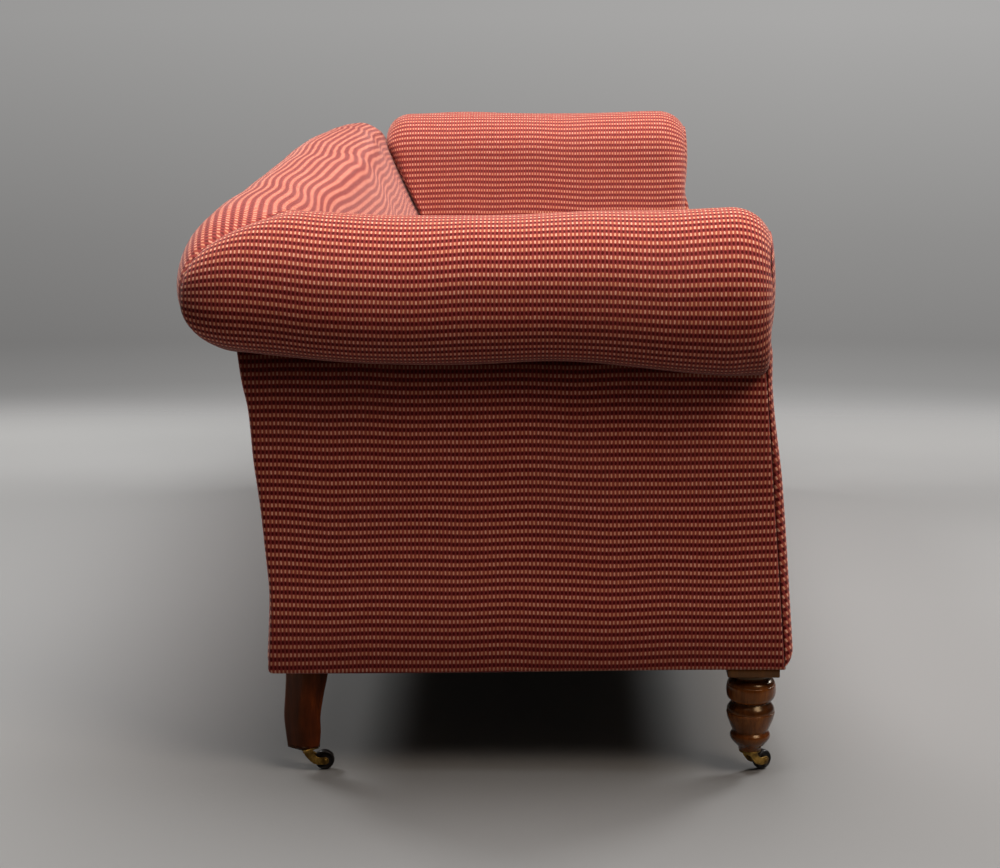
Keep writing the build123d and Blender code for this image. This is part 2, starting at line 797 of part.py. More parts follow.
def castor_horn():
    """The brass horn: a crown on the pintle and two curved cheeks, trailing towards -Y to the axle."""
    crown = Pos(0, 0, (crown_top + crown_foot) / 2) * Box(2 * cheek_outer, 2 * crown_radius, crown_height)
    arm = Polyline(
        (crown_radius, crown_top),
        (-crown_radius, crown_top),
        (-castor_trail, wheel_radius + horn_eye_radius),
        (-castor_trail, wheel_radius - horn_eye_radius),
        (-crown_radius, wheel_radius),
        (crown_radius, crown_foot),
        close=True,
    )
    band = make_face(arm) + Pos(-castor_trail, wheel_radius) * Circle(horn_eye_radius)
    horn = crown
    for x in (-cheek_outer, cheek_inner):
        horn = horn + Pos(x, 0, 0) * extrude(Plane.YZ * band, amount=cheek_thickness, dir=(1, 0, 0))
    horn = horn - Pos(0, 0, leg_foot_height / 2) * Cylinder(pintle_radius + running_clearance, leg_foot_height)
    return horn + Pos(0, -castor_trail, wheel_radius) * Rot(0, 90, 0) * Cylinder(axle_radius, 2 * cheek_outer)


def castor_wheel():
    """The wheel: a plain tread on a plain bore."""
    wheel = Cylinder(wheel_radius, wheel_width) - Cylinder(axle_radius + running_clearance, wheel_width)
    return Pos(0, -castor_trail, wheel_radius) * Rot(0, 90, 0) * wheel


def legs_and_castors():
    """The four legs, each on its castor."""
    parts = {}
    rear_plate = Rectangle(rear_plate_side, rear_plate_side, rotation=45)
    for side, hand in ((-1, "left"), (1, "right")):
        for end, y, leg, plate in (
            ("front", front_leg_y, turned_leg(), Circle(front_plate_radius)),
            ("rear", rear_leg_y, swept_leg(), rear_plate),
        ):
            corner = f"{end}_{hand}"
            place = Pos(side * leg_x, y, 0)
            turn = place * Rot(0, 0, castor_turn[corner])
            parts[f"leg_{corner}"] = place * leg
            parts[f"castor_plate_{corner}"] = place * castor_plate(plate)
            parts[f"castor_horn_{corner}"] = turn * castor_horn()
            parts[f"castor_wheel_{corner}"] = turn * castor_wheel()
    return parts


# ---- Assembly -----------------------------------------------------------------------------------
parts = {
    **seat_rails(),
    "corner_blocks": corner_blocks(),
    **back_frame(),
    **fixed_arm_frame(),
    **drop_arm_frame(),
    "seat_webbing": seat_webbing(),
    "seat_springs": seat_springs(),
    "spring_hessian": spring_hessian(),
    "seat_pad": seat_pad(),
    "front_border": front_border(),
    "bottom_cloth": bottom_cloth(),
    "fixed_arm_pad": fixed_arm_pad(),
    "back_pad": back_pad(),
    "drop_arm_pad": drop_arm_pad(),
    "fixed_arm_outside": fixed_arm_outside(),
    "outside_back": outside_back(),
    "right_rail_cover": right_rail_cover(),
    "drop_arm_outside": drop_arm_outside(),
    "back_end_facing": back_end_facing(),
    **arm_facings(),
    **drop_arm_hinges(),
    **legs_and_castors(),
}

os.makedirs("parts", exist_ok=True)
for name, part in parts.items():
    export_step(part, f"parts/{name}.step")
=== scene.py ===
"""Roll arm sofa with a fixed left arm and a drop arm on the right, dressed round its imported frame.

Metres, +Z up, the sofa faces -Y and stands on the floor at Z 0. The fixed arm is at -X.
"""

import logging
from bisect import bisect_right
from dataclasses import dataclass, field
from enum import Enum
from math import asin, atan2, ceil, cos, degrees, floor, hypot, pi, radians, sin, sqrt, tan, tanh
from typing import Any, Callable, Optional, Sequence

import bmesh
import bpy
from mathutils import Matrix, Vector, noise


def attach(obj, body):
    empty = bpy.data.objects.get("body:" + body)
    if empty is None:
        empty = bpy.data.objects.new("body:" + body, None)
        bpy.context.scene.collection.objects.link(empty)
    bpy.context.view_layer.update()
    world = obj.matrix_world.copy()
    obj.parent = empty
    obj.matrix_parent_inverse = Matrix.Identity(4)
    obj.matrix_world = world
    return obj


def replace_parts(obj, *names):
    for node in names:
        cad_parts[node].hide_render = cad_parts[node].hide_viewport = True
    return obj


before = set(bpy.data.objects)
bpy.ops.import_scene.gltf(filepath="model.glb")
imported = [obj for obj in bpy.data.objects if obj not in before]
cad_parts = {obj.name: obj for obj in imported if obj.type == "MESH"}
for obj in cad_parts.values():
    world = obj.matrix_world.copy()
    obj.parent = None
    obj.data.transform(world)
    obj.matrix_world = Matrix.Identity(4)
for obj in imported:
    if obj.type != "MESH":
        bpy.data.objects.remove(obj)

log = logging.getLogger("sofa")

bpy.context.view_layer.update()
WEAVE = "weave"  # the UV map of every cloth piece: metres along and across the rows of the weave
PAINTED_SHADE = "fold"  # a measure of every cloth piece: how dark its points are painted with shade, in a seam, a tuck or at a panel's foot
HELD = "held"  # and how firmly they are held by stitches or timber

Point2 = tuple[float, float]
Colour = tuple[float, float, float]


def srgb(red: float, green: float, blue: float) -> Colour:
    """A colour given in 0 to 255 steps, as linear light.

    Args:
        red: Red step.
        green: Green step.
        blue: Blue step.

    Returns:
        The linear colour.
    """

    def line(step: float) -> float:
        """One channel in linear light."""
        share = step / 255
        return share / 12.92 if share <= 0.04045 else ((share + 0.055) / 1.055) ** 2.4

    return line(red), line(green), line(blue)


def smooth(low: float, high: float, value: float) -> float:
    """A share that eases from 0 at low to 1 at high."""
    share = min(max((value - low) / (high - low), 0.0), 1.0)
    return share * share * (3 - 2 * share)


def drawn_in(distance: float, radius: float) -> float:
    """How far a cover draws in at this distance from an edge of this radius."""
    if distance >= radius:
        return 0.0
    short = radius - max(distance, 0.0)
    return radius - sqrt(radius**2 - short**2)


def taken_up(distance: float, radius: float) -> float:
    """Cloth taken up by that rounding, at this distance from the edge."""
    short = min(max(radius - distance, 0.0), radius)
    return radius * asin(short / radius) - short


def blend(first: float, second: float, share: float) -> float:
    """The number that lies this share of the way between two."""
    return first + (second - first) * share


def through(stations: Sequence[Point2], place: float) -> float:
    """A smooth value through stations of (place, value), level beyond the ends.

    Args:
        stations: The stations, in the order of their places.
        place: The place.

    Returns:
        The value there.
    """
    index = bisect_right([station[0] for station in stations], place)
    if index == 0 or index == len(stations):
        return stations[min(index, len(stations) - 1)][1]

    def slope(at: int) -> float:
        """The slope at a station: that between its neighbours, and none at the ends."""
        if at == 0 or at == len(stations) - 1:
            return 0.0
        (x0, y0), (x1, y1) = stations[at - 1], stations[at + 1]
        return (y1 - y0) / (x1 - x0)

    (x0, y0), (x1, y1) = stations[index - 1], stations[index]
    run, t = x1 - x0, (place - x0) / (x1 - x0)
    bow = slope(index - 1) * run * t * (1 - t) ** 2 - slope(index) * run * t * t * (1 - t)
    return blend(y0, y1, t * t * (3 - 2 * t)) + bow


def crowded(count: int) -> list[float]:
    """Shares from 0 to 1, crowded towards both ends."""
    return [0.5 - 0.5 * cos(pi * step / count) for step in range(count + 1)]


def even(count: int) -> list[float]:
    """Evenly spaced shares from 0 to 1."""
    return [step / count for step in range(count + 1)]


# ---- Lines of the sofa ---------------------------------------------------------------------------
@dataclass(frozen=True)
class Lines:
    """The sizes that the covers share, as in the solids."""

    front: float = -0.385
    underside: float = 0.152
    hem: float = 0.150  # where the covers end below
    drop_hem: float = 0.262  # the same on the drop arm
    rail_cover: float = 0.2497  # top of the covers below the drop arm
    arm_radius: float = 0.095
    arm_x: float = 0.845
    arm_z: float = 0.647
    back_radius: float = 0.084
    back_y: float = 0.301
    back_z: float = 0.658
    side: float = 0.852
    frame_side: float = 0.844
    frame_inner: float = 0.814
    rear_foot: float = 0.278
    front_rake: float = radians(4.9)
    rear_rake: float = radians(4.2)
    arm_rake: float = radians(10.0)
    back_rake: float = radians(24.8)
    waist_rake: float = radians(12.0)
    waist: float = 0.552
    seat_base: float = 0.2585
    border_top: float = 0.395
    seat_edge: float = 0.418
    seat_crown: float = 0.442
    drop_base: float = 0.2586
    rail_top: float = 0.252
    gap: float = 0.004
    facing_front: float = -0.3535  # the arms' facings stand no further forward than this

    def front_y(self, z: float) -> float:
        """The raked front at height z."""
        return self.front + (z - self.underside) * tan(self.front_rake)

    def rear_y(self, z: float) -> float:
        """The raked outside back at height z."""
        return self.rear_foot + (z - self.underside) * tan(self.rear_rake)

    def arm_tangent(self) -> Point2:
        """Where an arm's inside face runs into its roll."""
        return (
            self.arm_x - self.arm_radius * cos(self.arm_rake),
            self.arm_z + self.arm_radius * sin(self.arm_rake),
        )

    def inside_arm(self, z: float) -> float:
        """Distance of an arm's inside face from the middle at height z."""
        x, top = self.arm_tangent()
        return x - (top - z) * tan(self.arm_rake)

    def back_tangent(self) -> Point2:
        """Where the inside back runs into its roll."""
        return (
            self.back_y - self.back_radius * cos(self.back_rake),
            self.back_z + self.back_radius * sin(self.back_rake),
        )

    def inside_back(self, z: float) -> float:
        """The inside back at height z, steeper below the waist."""
        y, top = self.back_tangent()
        waist_y = y - (top - self.waist) * tan(self.back_rake)
        if z >= self.waist:
            return y - (top - z) * tan(self.back_rake)
        return waist_y - (self.waist - z) * tan(self.waist_rake)


LINES = Lines()


class Path:
    """A run of straight and round stretches in a plane, walked by distance."""

    def __init__(self, start: Point2) -> None:
        """Starts the path.

        Args:
            start: Its first point.
        """
        self.points: list[Point2] = [start]
        self.marks: list[float] = [0.0]

    def line(self, *points: Point2) -> "Path":
        """Straight stretches to each point in turn."""
        for point in points:
            last = self.points[-1]
            self.points.append(point)
            self.marks.append(self.marks[-1] + hypot(point[0] - last[0], point[1] - last[1]))
        return self

    def arc(self, centre: Point2, radius: float, first: float, last: float) -> "Path":
        """A round stretch between two angles in degrees."""
        steps = max(2, ceil(abs(last - first) / 3))
        for step in range(steps + 1):
            angle = radians(blend(first, last, step / steps))
            self.line((centre[0] + radius * cos(angle), centre[1] + radius * sin(angle)))
        return self

    @property
    def length(self) -> float:
        """The whole distance."""
        return self.marks[-1]

    def at(self, distance: float) -> Point2:
        """The point at a distance from the start."""
        index = min(max(bisect_right(self.marks, distance), 1), len(self.marks) - 1)
        low, high = self.marks[index - 1], self.marks[index]
        share = (distance - low) / max(high - low, 1e-9)
        a, b = self.points[index - 1], self.points[index]
        return blend(a[0], b[0], share), blend(a[1], b[1], share)

    def outward(self, distance: float) -> Point2:
        """The unit direction to the left of the walk, smoothed over a short stretch."""
        reach = 0.004
        a, b = self.at(max(distance - reach, 0.0)), self.at(min(distance + reach, self.length))
        run = hypot(b[0] - a[0], b[1] - a[1]) or 1.0
        return -(b[1] - a[1]) / run, (b[0] - a[0]) / run


# ---- Meshes --------------------------------------------------------------------------------------
Place = Callable[[float, float], Vector]
Weave = Callable[[float, float, Vector], Point2]
PaintedShade = Callable[[float, float, Vector], float]
Held = Callable[[float, float], float]


def keep(name: str, mesh: bmesh.types.BMesh, finish: "Finish", flat: bool = False) -> bpy.types.Object:
    """Turns a bmesh into a finished piece at the origin.

    Args:
        name: Name of the piece.
        mesh: Its bmesh, which is freed.
        finish: Its finish.
        flat: Whether its faces stay flat shaded.

    Returns:
        The new object.
    """
    for face in mesh.faces:
        face.smooth = not flat
    data = bpy.data.meshes.new(name)
    mesh.to_mesh(data)
    mesh.free()
    data.materials.append(finish.material())
    piece = bpy.data.objects.new(name, data)
    bpy.context.scene.collection.objects.link(piece)
    return piece


def cloth_sheet(
    name: str,
    finish: "Finish",
    us: Sequence[float],
    vs: Sequence[float],
    place: Place,
    weave: Weave,
    wrap: bool = False,
    fold: PaintedShade = lambda u, v, point: 0.0,
    held: Optional[Held] = None,
) -> bpy.types.Object:
    """A cover made from one grid: each of its points is placed by its two measures.

    Args:
        name: Name of the piece.
        finish: Its cloth.
        us: Measures across the grid.
        vs: Measures along the grid.
        place: The point in space for a pair of measures.
        weave: Where that pair and its point lie in the weave, in metres along and across its rows.
        wrap: Whether the first and last of us meet.
        fold: How dark they are painted with shade in a seam or tuck, from 0 to 1.
        held: How firmly they are held, from 0 to 1, in a cover that is to settle as cloth.

    Returns:
        The closed piece.
    """
    mesh = bmesh.new()
    columns, rows = len(us) - 1, len(vs) - 1
    bmesh.ops.create_grid(mesh, x_segments=columns, y_segments=rows, size=0.5)
    layer = mesh.loops.layers.uv.new(WEAVE)
    # the layer of painted shade in seams, tucks and panel feet
    deep = mesh.verts.layers.float.new(PAINTED_SHADE)
    firm = mesh.verts.layers.float.new(HELD) if held else None
    spots = {
        vert: (us[round((vert.co.x + 0.5) * columns)], vs[round((vert.co.y + 0.5) * rows)])
        for vert in mesh.verts
    }
    for vert, spot in spots.items():
        vert.co = place(*spot)
        vert[deep] = fold(*spot, vert.co)
        if held:
            vert[firm] = held(*spot)
    for face in mesh.faces:
        for loop in face.loops:
            loop[layer].uv = weave(*spots[loop.vert], loop.vert.co)
    if wrap:
        bmesh.ops.remove_doubles(mesh, verts=mesh.verts[:], dist=1e-5)
    rim = [edge for edge in mesh.edges if edge.is_boundary]
    for face in bmesh.ops.holes_fill(mesh, edges=rim, sides=0)["faces"]:
        face.normal_update()
        across = 0 if abs(face.normal.y) > abs(face.normal.x) else 1
        for loop in face.loops:
            loop[layer].uv = loop.vert.co[across], loop.vert.co.z
    bmesh.ops.recalc_face_normals(mesh, faces=mesh.faces[:])
    return keep(name, mesh, finish)


def lumps(point: Vector, height: float, size: float, seed: float = 0.0) -> float:
    """Soft unevenness of stuffing at a point."""
    return height * noise.noise(Vector((point.x / size + seed, point.y / size, point.z / size)))


@dataclass(frozen=True)
class Stuffing:
    """Lets stuffed covers settle as cloth under the pressure of their filling.

    A cover swells between the places where it is held. Its mean swelling is in the drawn sections
    already, so only the unevenness is kept. It eases off towards reach, and give says how fast.
    """

    reach: float = 0.0018
    give: float = 0.010
    pressure: float = 4.0
    frames: int = 20
    pins: str = "pins"

    def prepare(self, piece: bpy.types.Object) -> None:
        """Pins a cover where it is held and makes it cloth.

        Args:
            piece: The cover.
        """
        group = piece.vertex_groups.new(name=self.pins)
        for index, item in enumerate(piece.data.attributes[HELD].data):
            group.add([index], item.value, "REPLACE")
        cloth = piece.modifiers.new("Cloth", "CLOTH")
        cloth.point_cache.frame_start, cloth.point_cache.frame_end = 1, self.frames
        cloth.collision_settings.use_collision = False
        settings = cloth.settings
        settings.vertex_group_mass = self.pins
        settings.pin_stiffness = 1.0
        settings.quality, settings.mass, settings.air_damping = 4, 0.3, 3.0
        settings.tension_stiffness = settings.compression_stiffness = 30.0
        settings.shear_stiffness, settings.bending_stiffness = 15.0, 2.0
        settings.use_pressure, settings.uniform_pressure_force = True, self.pressure
        settings.effector_weights.gravity = 0.0

    def settle(self, pieces: Sequence[bpy.types.Object]) -> None:
        """Runs the simulation for all covers at once and applies its result to their meshes.

        Args:
            pieces: The covers.
        """
        scene = bpy.context.scene
        for piece in pieces:
            self.prepare(piece)
        for frame_number in range(1, self.frames + 1):
            scene.frame_set(frame_number)
        graph = bpy.context.evaluated_depsgraph_get()
        moved = [[vert.co.copy() for vert in piece.evaluated_get(graph).data.vertices] for piece in pieces]
        scene.frame_set(1)
        for piece, places in zip(pieces, moved):
            piece.modifiers.remove(piece.modifiers["Cloth"])
            self.apply(piece, places)
            piece.vertex_groups.remove(piece.vertex_groups[self.pins])
            piece.data.attributes.remove(piece.data.attributes[HELD])

    def apply(self, piece: bpy.types.Object, places: Sequence[Vector]) -> None:
        """Moves a cover's points by the unevenness of the swelling.

        Args:
            piece: The cover.
            places: Where the simulation left its points.
        """
        firm = [item.value for item in piece.data.attributes[HELD].data]
        moves = [(place - vert.co).dot(vert.normal) for vert, place in zip(piece.data.vertices, places)]
        free = [move for move, hold in zip(moves, firm) if hold < 0.1]
        mean = sum(free) / max(len(free), 1)
        shifts = []
        for vert, move, hold in zip(piece.data.vertices, moves, firm):
            shifts.append(vert.normal * self.reach * tanh((move - mean) / self.give) * (1 - hold))
        for vert, shift in zip(piece.data.vertices, shifts):
            vert.co += shift
        piece.data.update()
        least, most = min(free) - mean, max(free) - mean
        log.info("%s settled: mean %.4f, uneven %.4f to %.4f", piece.name, mean, least, most)


# ---- Shader words --------------------------------------------------------------------------------
class Value:
    """A socket in a node tree whose arithmetic adds Math nodes."""

    def __init__(self, tree: "Tree", socket: bpy.types.NodeSocket) -> None:
        """Wraps a socket.

        Args:
            tree: The tree that it belongs to.
            socket: The output socket.
        """
        self.tree = tree
        self.socket = socket

    def maths(self, operation: str, *others: Any) -> "Value":
        """A Math node of this value and up to two others."""
        inputs = {0: self, **{index + 1: other for index, other in enumerate(others)}}
        return self.tree.node("ShaderNodeMath", {"operation": operation}, inputs)

    def __add__(self, other: Any) -> "Value":
        """Sum."""
        return self.maths("ADD", other)

    def __radd__(self, other: Any) -> "Value":
        """Sum with a number first."""
        return self.maths("ADD", other)

    def __sub__(self, other: Any) -> "Value":
        """Difference."""
        return self.maths("SUBTRACT", other)

    def __rsub__(self, other: Any) -> "Value":
        """Difference with a number first."""
        return self.maths("MULTIPLY_ADD", -1.0, other)

    def __mul__(self, other: Any) -> "Value":
        """Product."""
        return self.maths("MULTIPLY", other)

    def __rmul__(self, other: Any) -> "Value":
        """Product with a number first."""
        return self.maths("MULTIPLY", other)

    def __truediv__(self, other: Any) -> "Value":
        """Quotient."""
        return self.maths("DIVIDE", other)

    def __pow__(self, other: Any) -> "Value":
        """Power."""
        return self.maths("POWER", other)

    def __abs__(self) -> "Value":
        """Size without its sign."""
        return self.maths("ABSOLUTE")

    def ease(self, low: float, high: float) -> "Value":
        """A share that eases from 0 at low to 1 at high."""
        settings = {"interpolation_type": "SMOOTHSTEP"}
        return self.tree.node("ShaderNodeMapRange", settings, {0: self, 1: low, 2: high, 3: 0.0, 4: 1.0})


class Tree:
    """The node tree of one material."""

    def __init__(self, name: str) -> None:
        """Starts a material.

        Args:
            name: Its name.
        """
        self.material = bpy.data.materials.new(name)
        self.material.use_nodes = True
        self.tree = self.material.node_tree
        self.shader = self.tree.nodes["Principled BSDF"]

    def node(
        self, kind: str, settings: Optional[dict] = None, inputs: Optional[dict] = None, out: int = 0
    ) -> Value:
        """Adds one node.

        Args:
            kind: The node's type.
            settings: Its own settings; stops are a ramp's (place, colour) pairs.
            inputs: Numbers, colours or values for its sockets, by name or index.
            out: Which output is returned.

        Returns:
            The output as a value.
        """
        node = self.tree.nodes.new(kind)
        for key, setting in (settings or {}).items():
            if key == "stops":
                ramp = node.color_ramp.elements
                while len(ramp) < len(setting):
                    ramp.new(1.0)
                for element, (place, colour) in zip(ramp, setting):
                    element.position, element.color = place, (*colour, 1.0)
            else:
                setattr(node, key, setting)
        for key, given in (inputs or {}).items():
            self.feed(node.inputs[key], given)
        return Value(self, node.outputs[out])

    def feed(self, socket: bpy.types.NodeSocket, given: Any) -> None:
        """Links or sets a socket."""
        if isinstance(given, Value):
            self.tree.links.new(given.socket, socket)
        elif isinstance(given, (int, float)):
            socket.default_value = given
        else:
            whole = len(socket.default_value)
            socket.default_value = (*given, 1.0)[:whole]

    def mix(self, share: Any, first: Any, second: Any) -> Value:
        """A colour between two."""
        return self.node(
            "ShaderNodeMix", {"data_type": "RGBA"}, {0: share, 6: first, 7: second}, out=2
        )

    def place(self) -> Value:
        """The point on the piece, in metres."""
        return self.node("ShaderNodeTexCoord", out=3)

    def noise(self, where: Value, scale: float, detail: float = 2.0, rough: float = 0.5) -> Value:
        """Cloudy noise between 0 and 1."""
        return self.node(
            "ShaderNodeTexNoise", {}, {"Vector": where, "Scale": scale, "Detail": detail, "Roughness": rough}
        )

    def stretched(self, where: Value, scale: Sequence[float]) -> Value:
        """A place stretched by a factor along each axis."""
        return self.node("ShaderNodeMapping", {}, {"Vector": where, "Scale": tuple(scale)})

    def bump(
        self, height: Value, reach: float, strength: float = 1.0, before: Optional[Value] = None
    ) -> Value:
        """A normal from a height between 0 and 1."""
        inputs: dict[str, Any] = {"Height": height, "Distance": reach, "Strength": strength}
        if before is not None:
            inputs["Normal"] = before
        return self.node("ShaderNodeBump", {}, inputs)

    def surface(self, **sockets: Any) -> bpy.types.Material:
        """Feeds the shader's sockets; an underscore stands for a space."""
        for name, given in sockets.items():
            self.feed(self.shader.inputs[name.replace("_", " ")], given)
        return self.material


# ---- Finishes ------------------------------------------------------------------------------------
@dataclass(frozen=True)
class Finish:
    """One finish of the sofa: its name and the record's material slot."""

    name: str
    slot: str = ""

    def material(self) -> bpy.types.Material:
        """The finish's material, made once."""
        return bpy.data.materials.get(self.name) or self.make(Tree(self.name))

    def make(self, tree: Tree) -> bpy.types.Material:
        """Builds the nodes.

        Args:
            tree: The new material's tree.

        Returns:
            The material.
        """
        raise NotImplementedError

    def dress(self, *nodes: str) -> None:
        """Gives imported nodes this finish."""
        for node in nodes:
            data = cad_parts[node].data
            data.materials.clear()
            data.materials.append(self.material())


@dataclass(frozen=True)
class WovenCover(Finish):
    """Heavy cover woven in rows: dark dots on rose, then pale dashes on russet."""

    row: float = 0.0105
    pitch: float = 0.0051
    dot: Colour = (0.062, 0.0012, 0.0010)
    rose: Colour = (0.285, 0.034, 0.033)
    russet: Colour = (0.420, 0.078, 0.046)
    dash: Colour = (0.880, 0.460, 0.320)
    dash_tan: Colour = (0.820, 0.370, 0.205)
    faded: Colour = (0.380, 0.105, 0.072)
    # painted shade: the colour of the deepest seams and tucks
    sunk: Colour = (0.030, 0.0010, 0.0008)
    # a paler tone: random paling in every cover, and painted light on the paler copy
    rubbed: Colour = (0.395, 0.112, 0.096)
    wear: float = 0.0  # painted light: how far the whole cover is painted towards the paler tone

    def make(self, tree: Tree) -> bpy.types.Material:
        """Builds the weave from its rows and columns, with painted shade in seams and tucks and a paler tone
        that is partly painted light.
        """
        where = tree.node("ShaderNodeUVMap", {"uv_map": WEAVE})
        sway = tree.noise(tree.stretched(where, (1.0, 0.4, 1.0)), 5.5, 1.0)
        shiver = tree.noise(where, 150.0, 1.0)
        apart = tree.node("ShaderNodeSeparateXYZ", {}, {0: where})
        along = apart
        across = Value(tree, apart.socket.node.outputs[1])
        row = (across + (sway - 0.5) * 0.012 + (shiver - 0.5) * 0.0012) / self.row
        column = (along + (shiver - 0.5) * 0.0010) / self.pitch
        down, sideways = row.maths("FRACT"), column.maths("FRACT")
        aside = abs(sideways - 0.5)
        dots = 1.0 - (((aside / 0.29) ** 3 + (abs(down - 0.25) / 0.20) ** 3).ease(0.7, 1.25))
        dashes = 1.0 - (((aside / 0.20) ** 3 + (abs(down - 0.75) / 0.215) ** 4).ease(0.55, 1.35))
        cell = tree.node(
            "ShaderNodeCombineXYZ", {}, {0: column.maths("FLOOR"), 1: row.maths("FLOOR")}
        )
        chance = tree.node("ShaderNodeTexWhiteNoise", {"noise_dimensions": "2D"}, {0: cell})
        pale_row = 1.0 - abs(down - 0.75).ease(0.20, 0.29)
        ground = tree.mix(pale_row, self.rose, self.russet)
        thread = tree.node(
            "ShaderNodeTexNoise", {}, {"Vector": tree.stretched(where, (1800, 420, 1)), "Scale": 1.0}
        )
        ground = tree.mix((thread - 0.35).ease(0.0, 0.5) * 0.28, ground, self.dot)
        colour = tree.mix(dots * 0.92, ground, self.dot)
        pale = tree.mix(chance, self.dash_tan, self.dash)
        colour = tree.mix(dashes * (0.86 + chance * 0.14), colour, pale)
        fade = tree.noise(tree.place(), 5.0, 3.0)
        colour = tree.mix((fade - 0.5).ease(0.0, 0.35) * 0.08, colour, self.faded)
        # random paling, and on the paler copy painted light
        colour = tree.mix(self.wear + fade * 0.04, colour, self.rubbed)
        # painted shade: seams, tucks and panel feet darkened towards that colour
        fold = tree.node("ShaderNodeAttribute", {"attribute_name": PAINTED_SHADE}, out=2)
        colour = tree.mix(fold, colour, self.sunk)
        height = dashes * 0.8 - dots * 0.5 + thread * 0.4
        broad = tree.noise(tree.place(), 38.0, 2.0)
        normal = tree.bump(height, 0.0007, 0.8, tree.bump(broad, 0.0012, 0.35))
        return tree.surface(
            Base_Color=colour,
            Roughness=0.80 + thread * 0.12,
            Normal=normal,
            Sheen_Weight=0.42,
            Sheen_Roughness=0.40,
            Sheen_Tint=(1.0, 0.66, 0.60),
            Specular_IOR_Level=0.03,
        )


@dataclass(frozen=True)
class PolishedWood(Finish):
    """Stained and polished hardwood with grain up the leg."""

    dark: Colour = srgb(16, 5, 2)
    middle: Colour = srgb(100, 48, 10)
    light: Colour = srgb(176, 100, 28)
    dullness: float = 0.17
    polish: float = 0.08
    gleam: float = 0.50
    glow: Colour = (1.0, 0.74, 0.42)  # of the polish
    shaded_above: float = 0.121  # painted shade: the wood is painted darker above this height, where the cover shades it
    grimy: Point2 = (0.0925, 0.0045)  # middle and half width of a band round the leg, painted darker

    def make(self, tree: Tree) -> bpy.types.Material:
        """Builds grain, pores and worn polish, with painted highlight on ridges, painted shade in hollows and
        on the block, and a band painted darker.
        """
        where = tree.place()
        grain = tree.noise(tree.stretched(where, (26, 26, 3.2)), 3.0, 4.0, 0.6)
        pores = tree.noise(tree.stretched(where, (900, 900, 50)), 1.0, 2.0)
        patches = tree.noise(where, 18.0, 2.0)
        colour = tree.node(
            "ShaderNodeValToRGB",
            {"stops": [(0.22, self.dark), (0.52, self.middle), (0.82, self.light)]},
            {0: grain * 0.60 + patches * 0.40},
        )
        colour = tree.mix((pores - 0.55).ease(0.0, 0.2) * 0.5, colour, self.dark)
        # painted highlight on convex ridges and painted shade in hollows, from the pointiness
        edges = tree.node("ShaderNodeNewGeometry", out=7)
        colour = tree.mix((edges - 0.5).ease(0.02, 0.1) * 0.35, colour, self.light)
        colour = tree.mix((0.5 - edges).ease(0.01, 0.07) * 0.75, colour, self.dark)
        apart = tree.node("ShaderNodeSeparateXYZ", {}, {0: where})
        height = Value(tree, apart.socket.node.outputs[2])
        # painted shade on the block, under the cover
        shade = (height - self.shaded_above).ease(0.0, 0.006) * 0.62
        # a band round the leg at the cove below the bun, painted darker
        band = 1.0 - abs(height - self.grimy[0]).ease(self.grimy[1], self.grimy[1] + 0.004)
        colour = tree.mix(shade.maths("MAXIMUM", band * 0.62), colour, self.dark)
        return tree.surface(
            Base_Color=colour,
            Roughness=self.dullness + patches * 0.14,
            Normal=tree.bump(pores * 0.4 + grain * 0.6, 0.0004, 0.3),
            Specular_IOR_Level=self.gleam,
            Specular_Tint=self.glow,
            Coat_Weight=self.polish,
            Coat_Roughness=0.10,
        )


@dataclass(frozen=True)
class SawnWood(Finish):
    """Unpolished beech of the hidden frame."""

    light: Colour = srgb(206, 176, 132)
    dark: Colour = srgb(166, 128, 84)

    def make(self, tree: Tree) -> bpy.types.Material:
        """Builds pale grain with short flecks and saw marks."""
        where = tree.place()
        grain = tree.noise(tree.stretched(where, (4, 30, 30)), 2.0, 4.0, 0.6)
        flecks = tree.noise(tree.stretched(where, (60, 500, 500)), 1.0, 1.0)
        saw = tree.noise(tree.stretched(where, (300, 20, 20)), 1.0, 2.0)
        colour = tree.mix(grain.ease(0.3, 0.7), self.dark, self.light)
        colour = tree.mix((flecks - 0.55).ease(0.0, 0.15) * 0.35, colour, self.dark)
        return tree.surface(
            Base_Color=colour, Roughness=0.62 + saw * 0.2, Normal=tree.bump(saw, 0.0004, 0.5)
        )


@dataclass(frozen=True)
class WornMetal(Finish):
    """Metal with tarnish in patches and brighter worn places."""

    bright: Colour = srgb(200, 158, 78)
    dull: Colour = srgb(84, 60, 26)
    gloss: float = 0.30

    def make(self, tree: Tree) -> bpy.types.Material:
        """Builds tarnish and fine scratches."""
        where = tree.place()
        patches = tree.noise(where, 70.0, 3.0, 0.6)
        scratches = tree.noise(tree.stretched(where, (200, 1400, 300)), 1.0, 2.0)
        edges = tree.node("ShaderNodeNewGeometry", out=7)
        share = patches.ease(0.35, 0.7) * 0.8 + (edges - 0.5).ease(0.0, 0.1) * 0.3
        return tree.surface(
            Base_Color=tree.mix(share, self.dull, self.bright),
            Metallic=0.95,
            Roughness=self.gloss + patches * 0.22 + scratches * 0.08,
            Normal=tree.bump(scratches, 0.0002, 0.3),
        )


@dataclass(frozen=True)
class DarkComposition(Finish):
    """Near-black moulded wheel, scuffed grey on its tread."""

    def make(self, tree: Tree) -> bpy.types.Material:
        """Builds faint mottling and scuffs."""
        where = tree.place()
        mottle = tree.noise(where, 160.0, 3.0)
        scuffs = tree.noise(tree.stretched(where, (600, 600, 120)), 1.0, 3.0)
        colour = tree.mix(mottle, srgb(12, 8, 8), srgb(28, 20, 19))
        colour = tree.mix((scuffs - 0.58).ease(0.0, 0.15) * 0.25, colour, srgb(72, 64, 60))
        return tree.surface(
            Base_Color=colour,
            Roughness=0.30 + scuffs * 0.26,
            Normal=tree.bump(scuffs, 0.0003, 0.4),
            Specular_IOR_Level=0.28,
        )


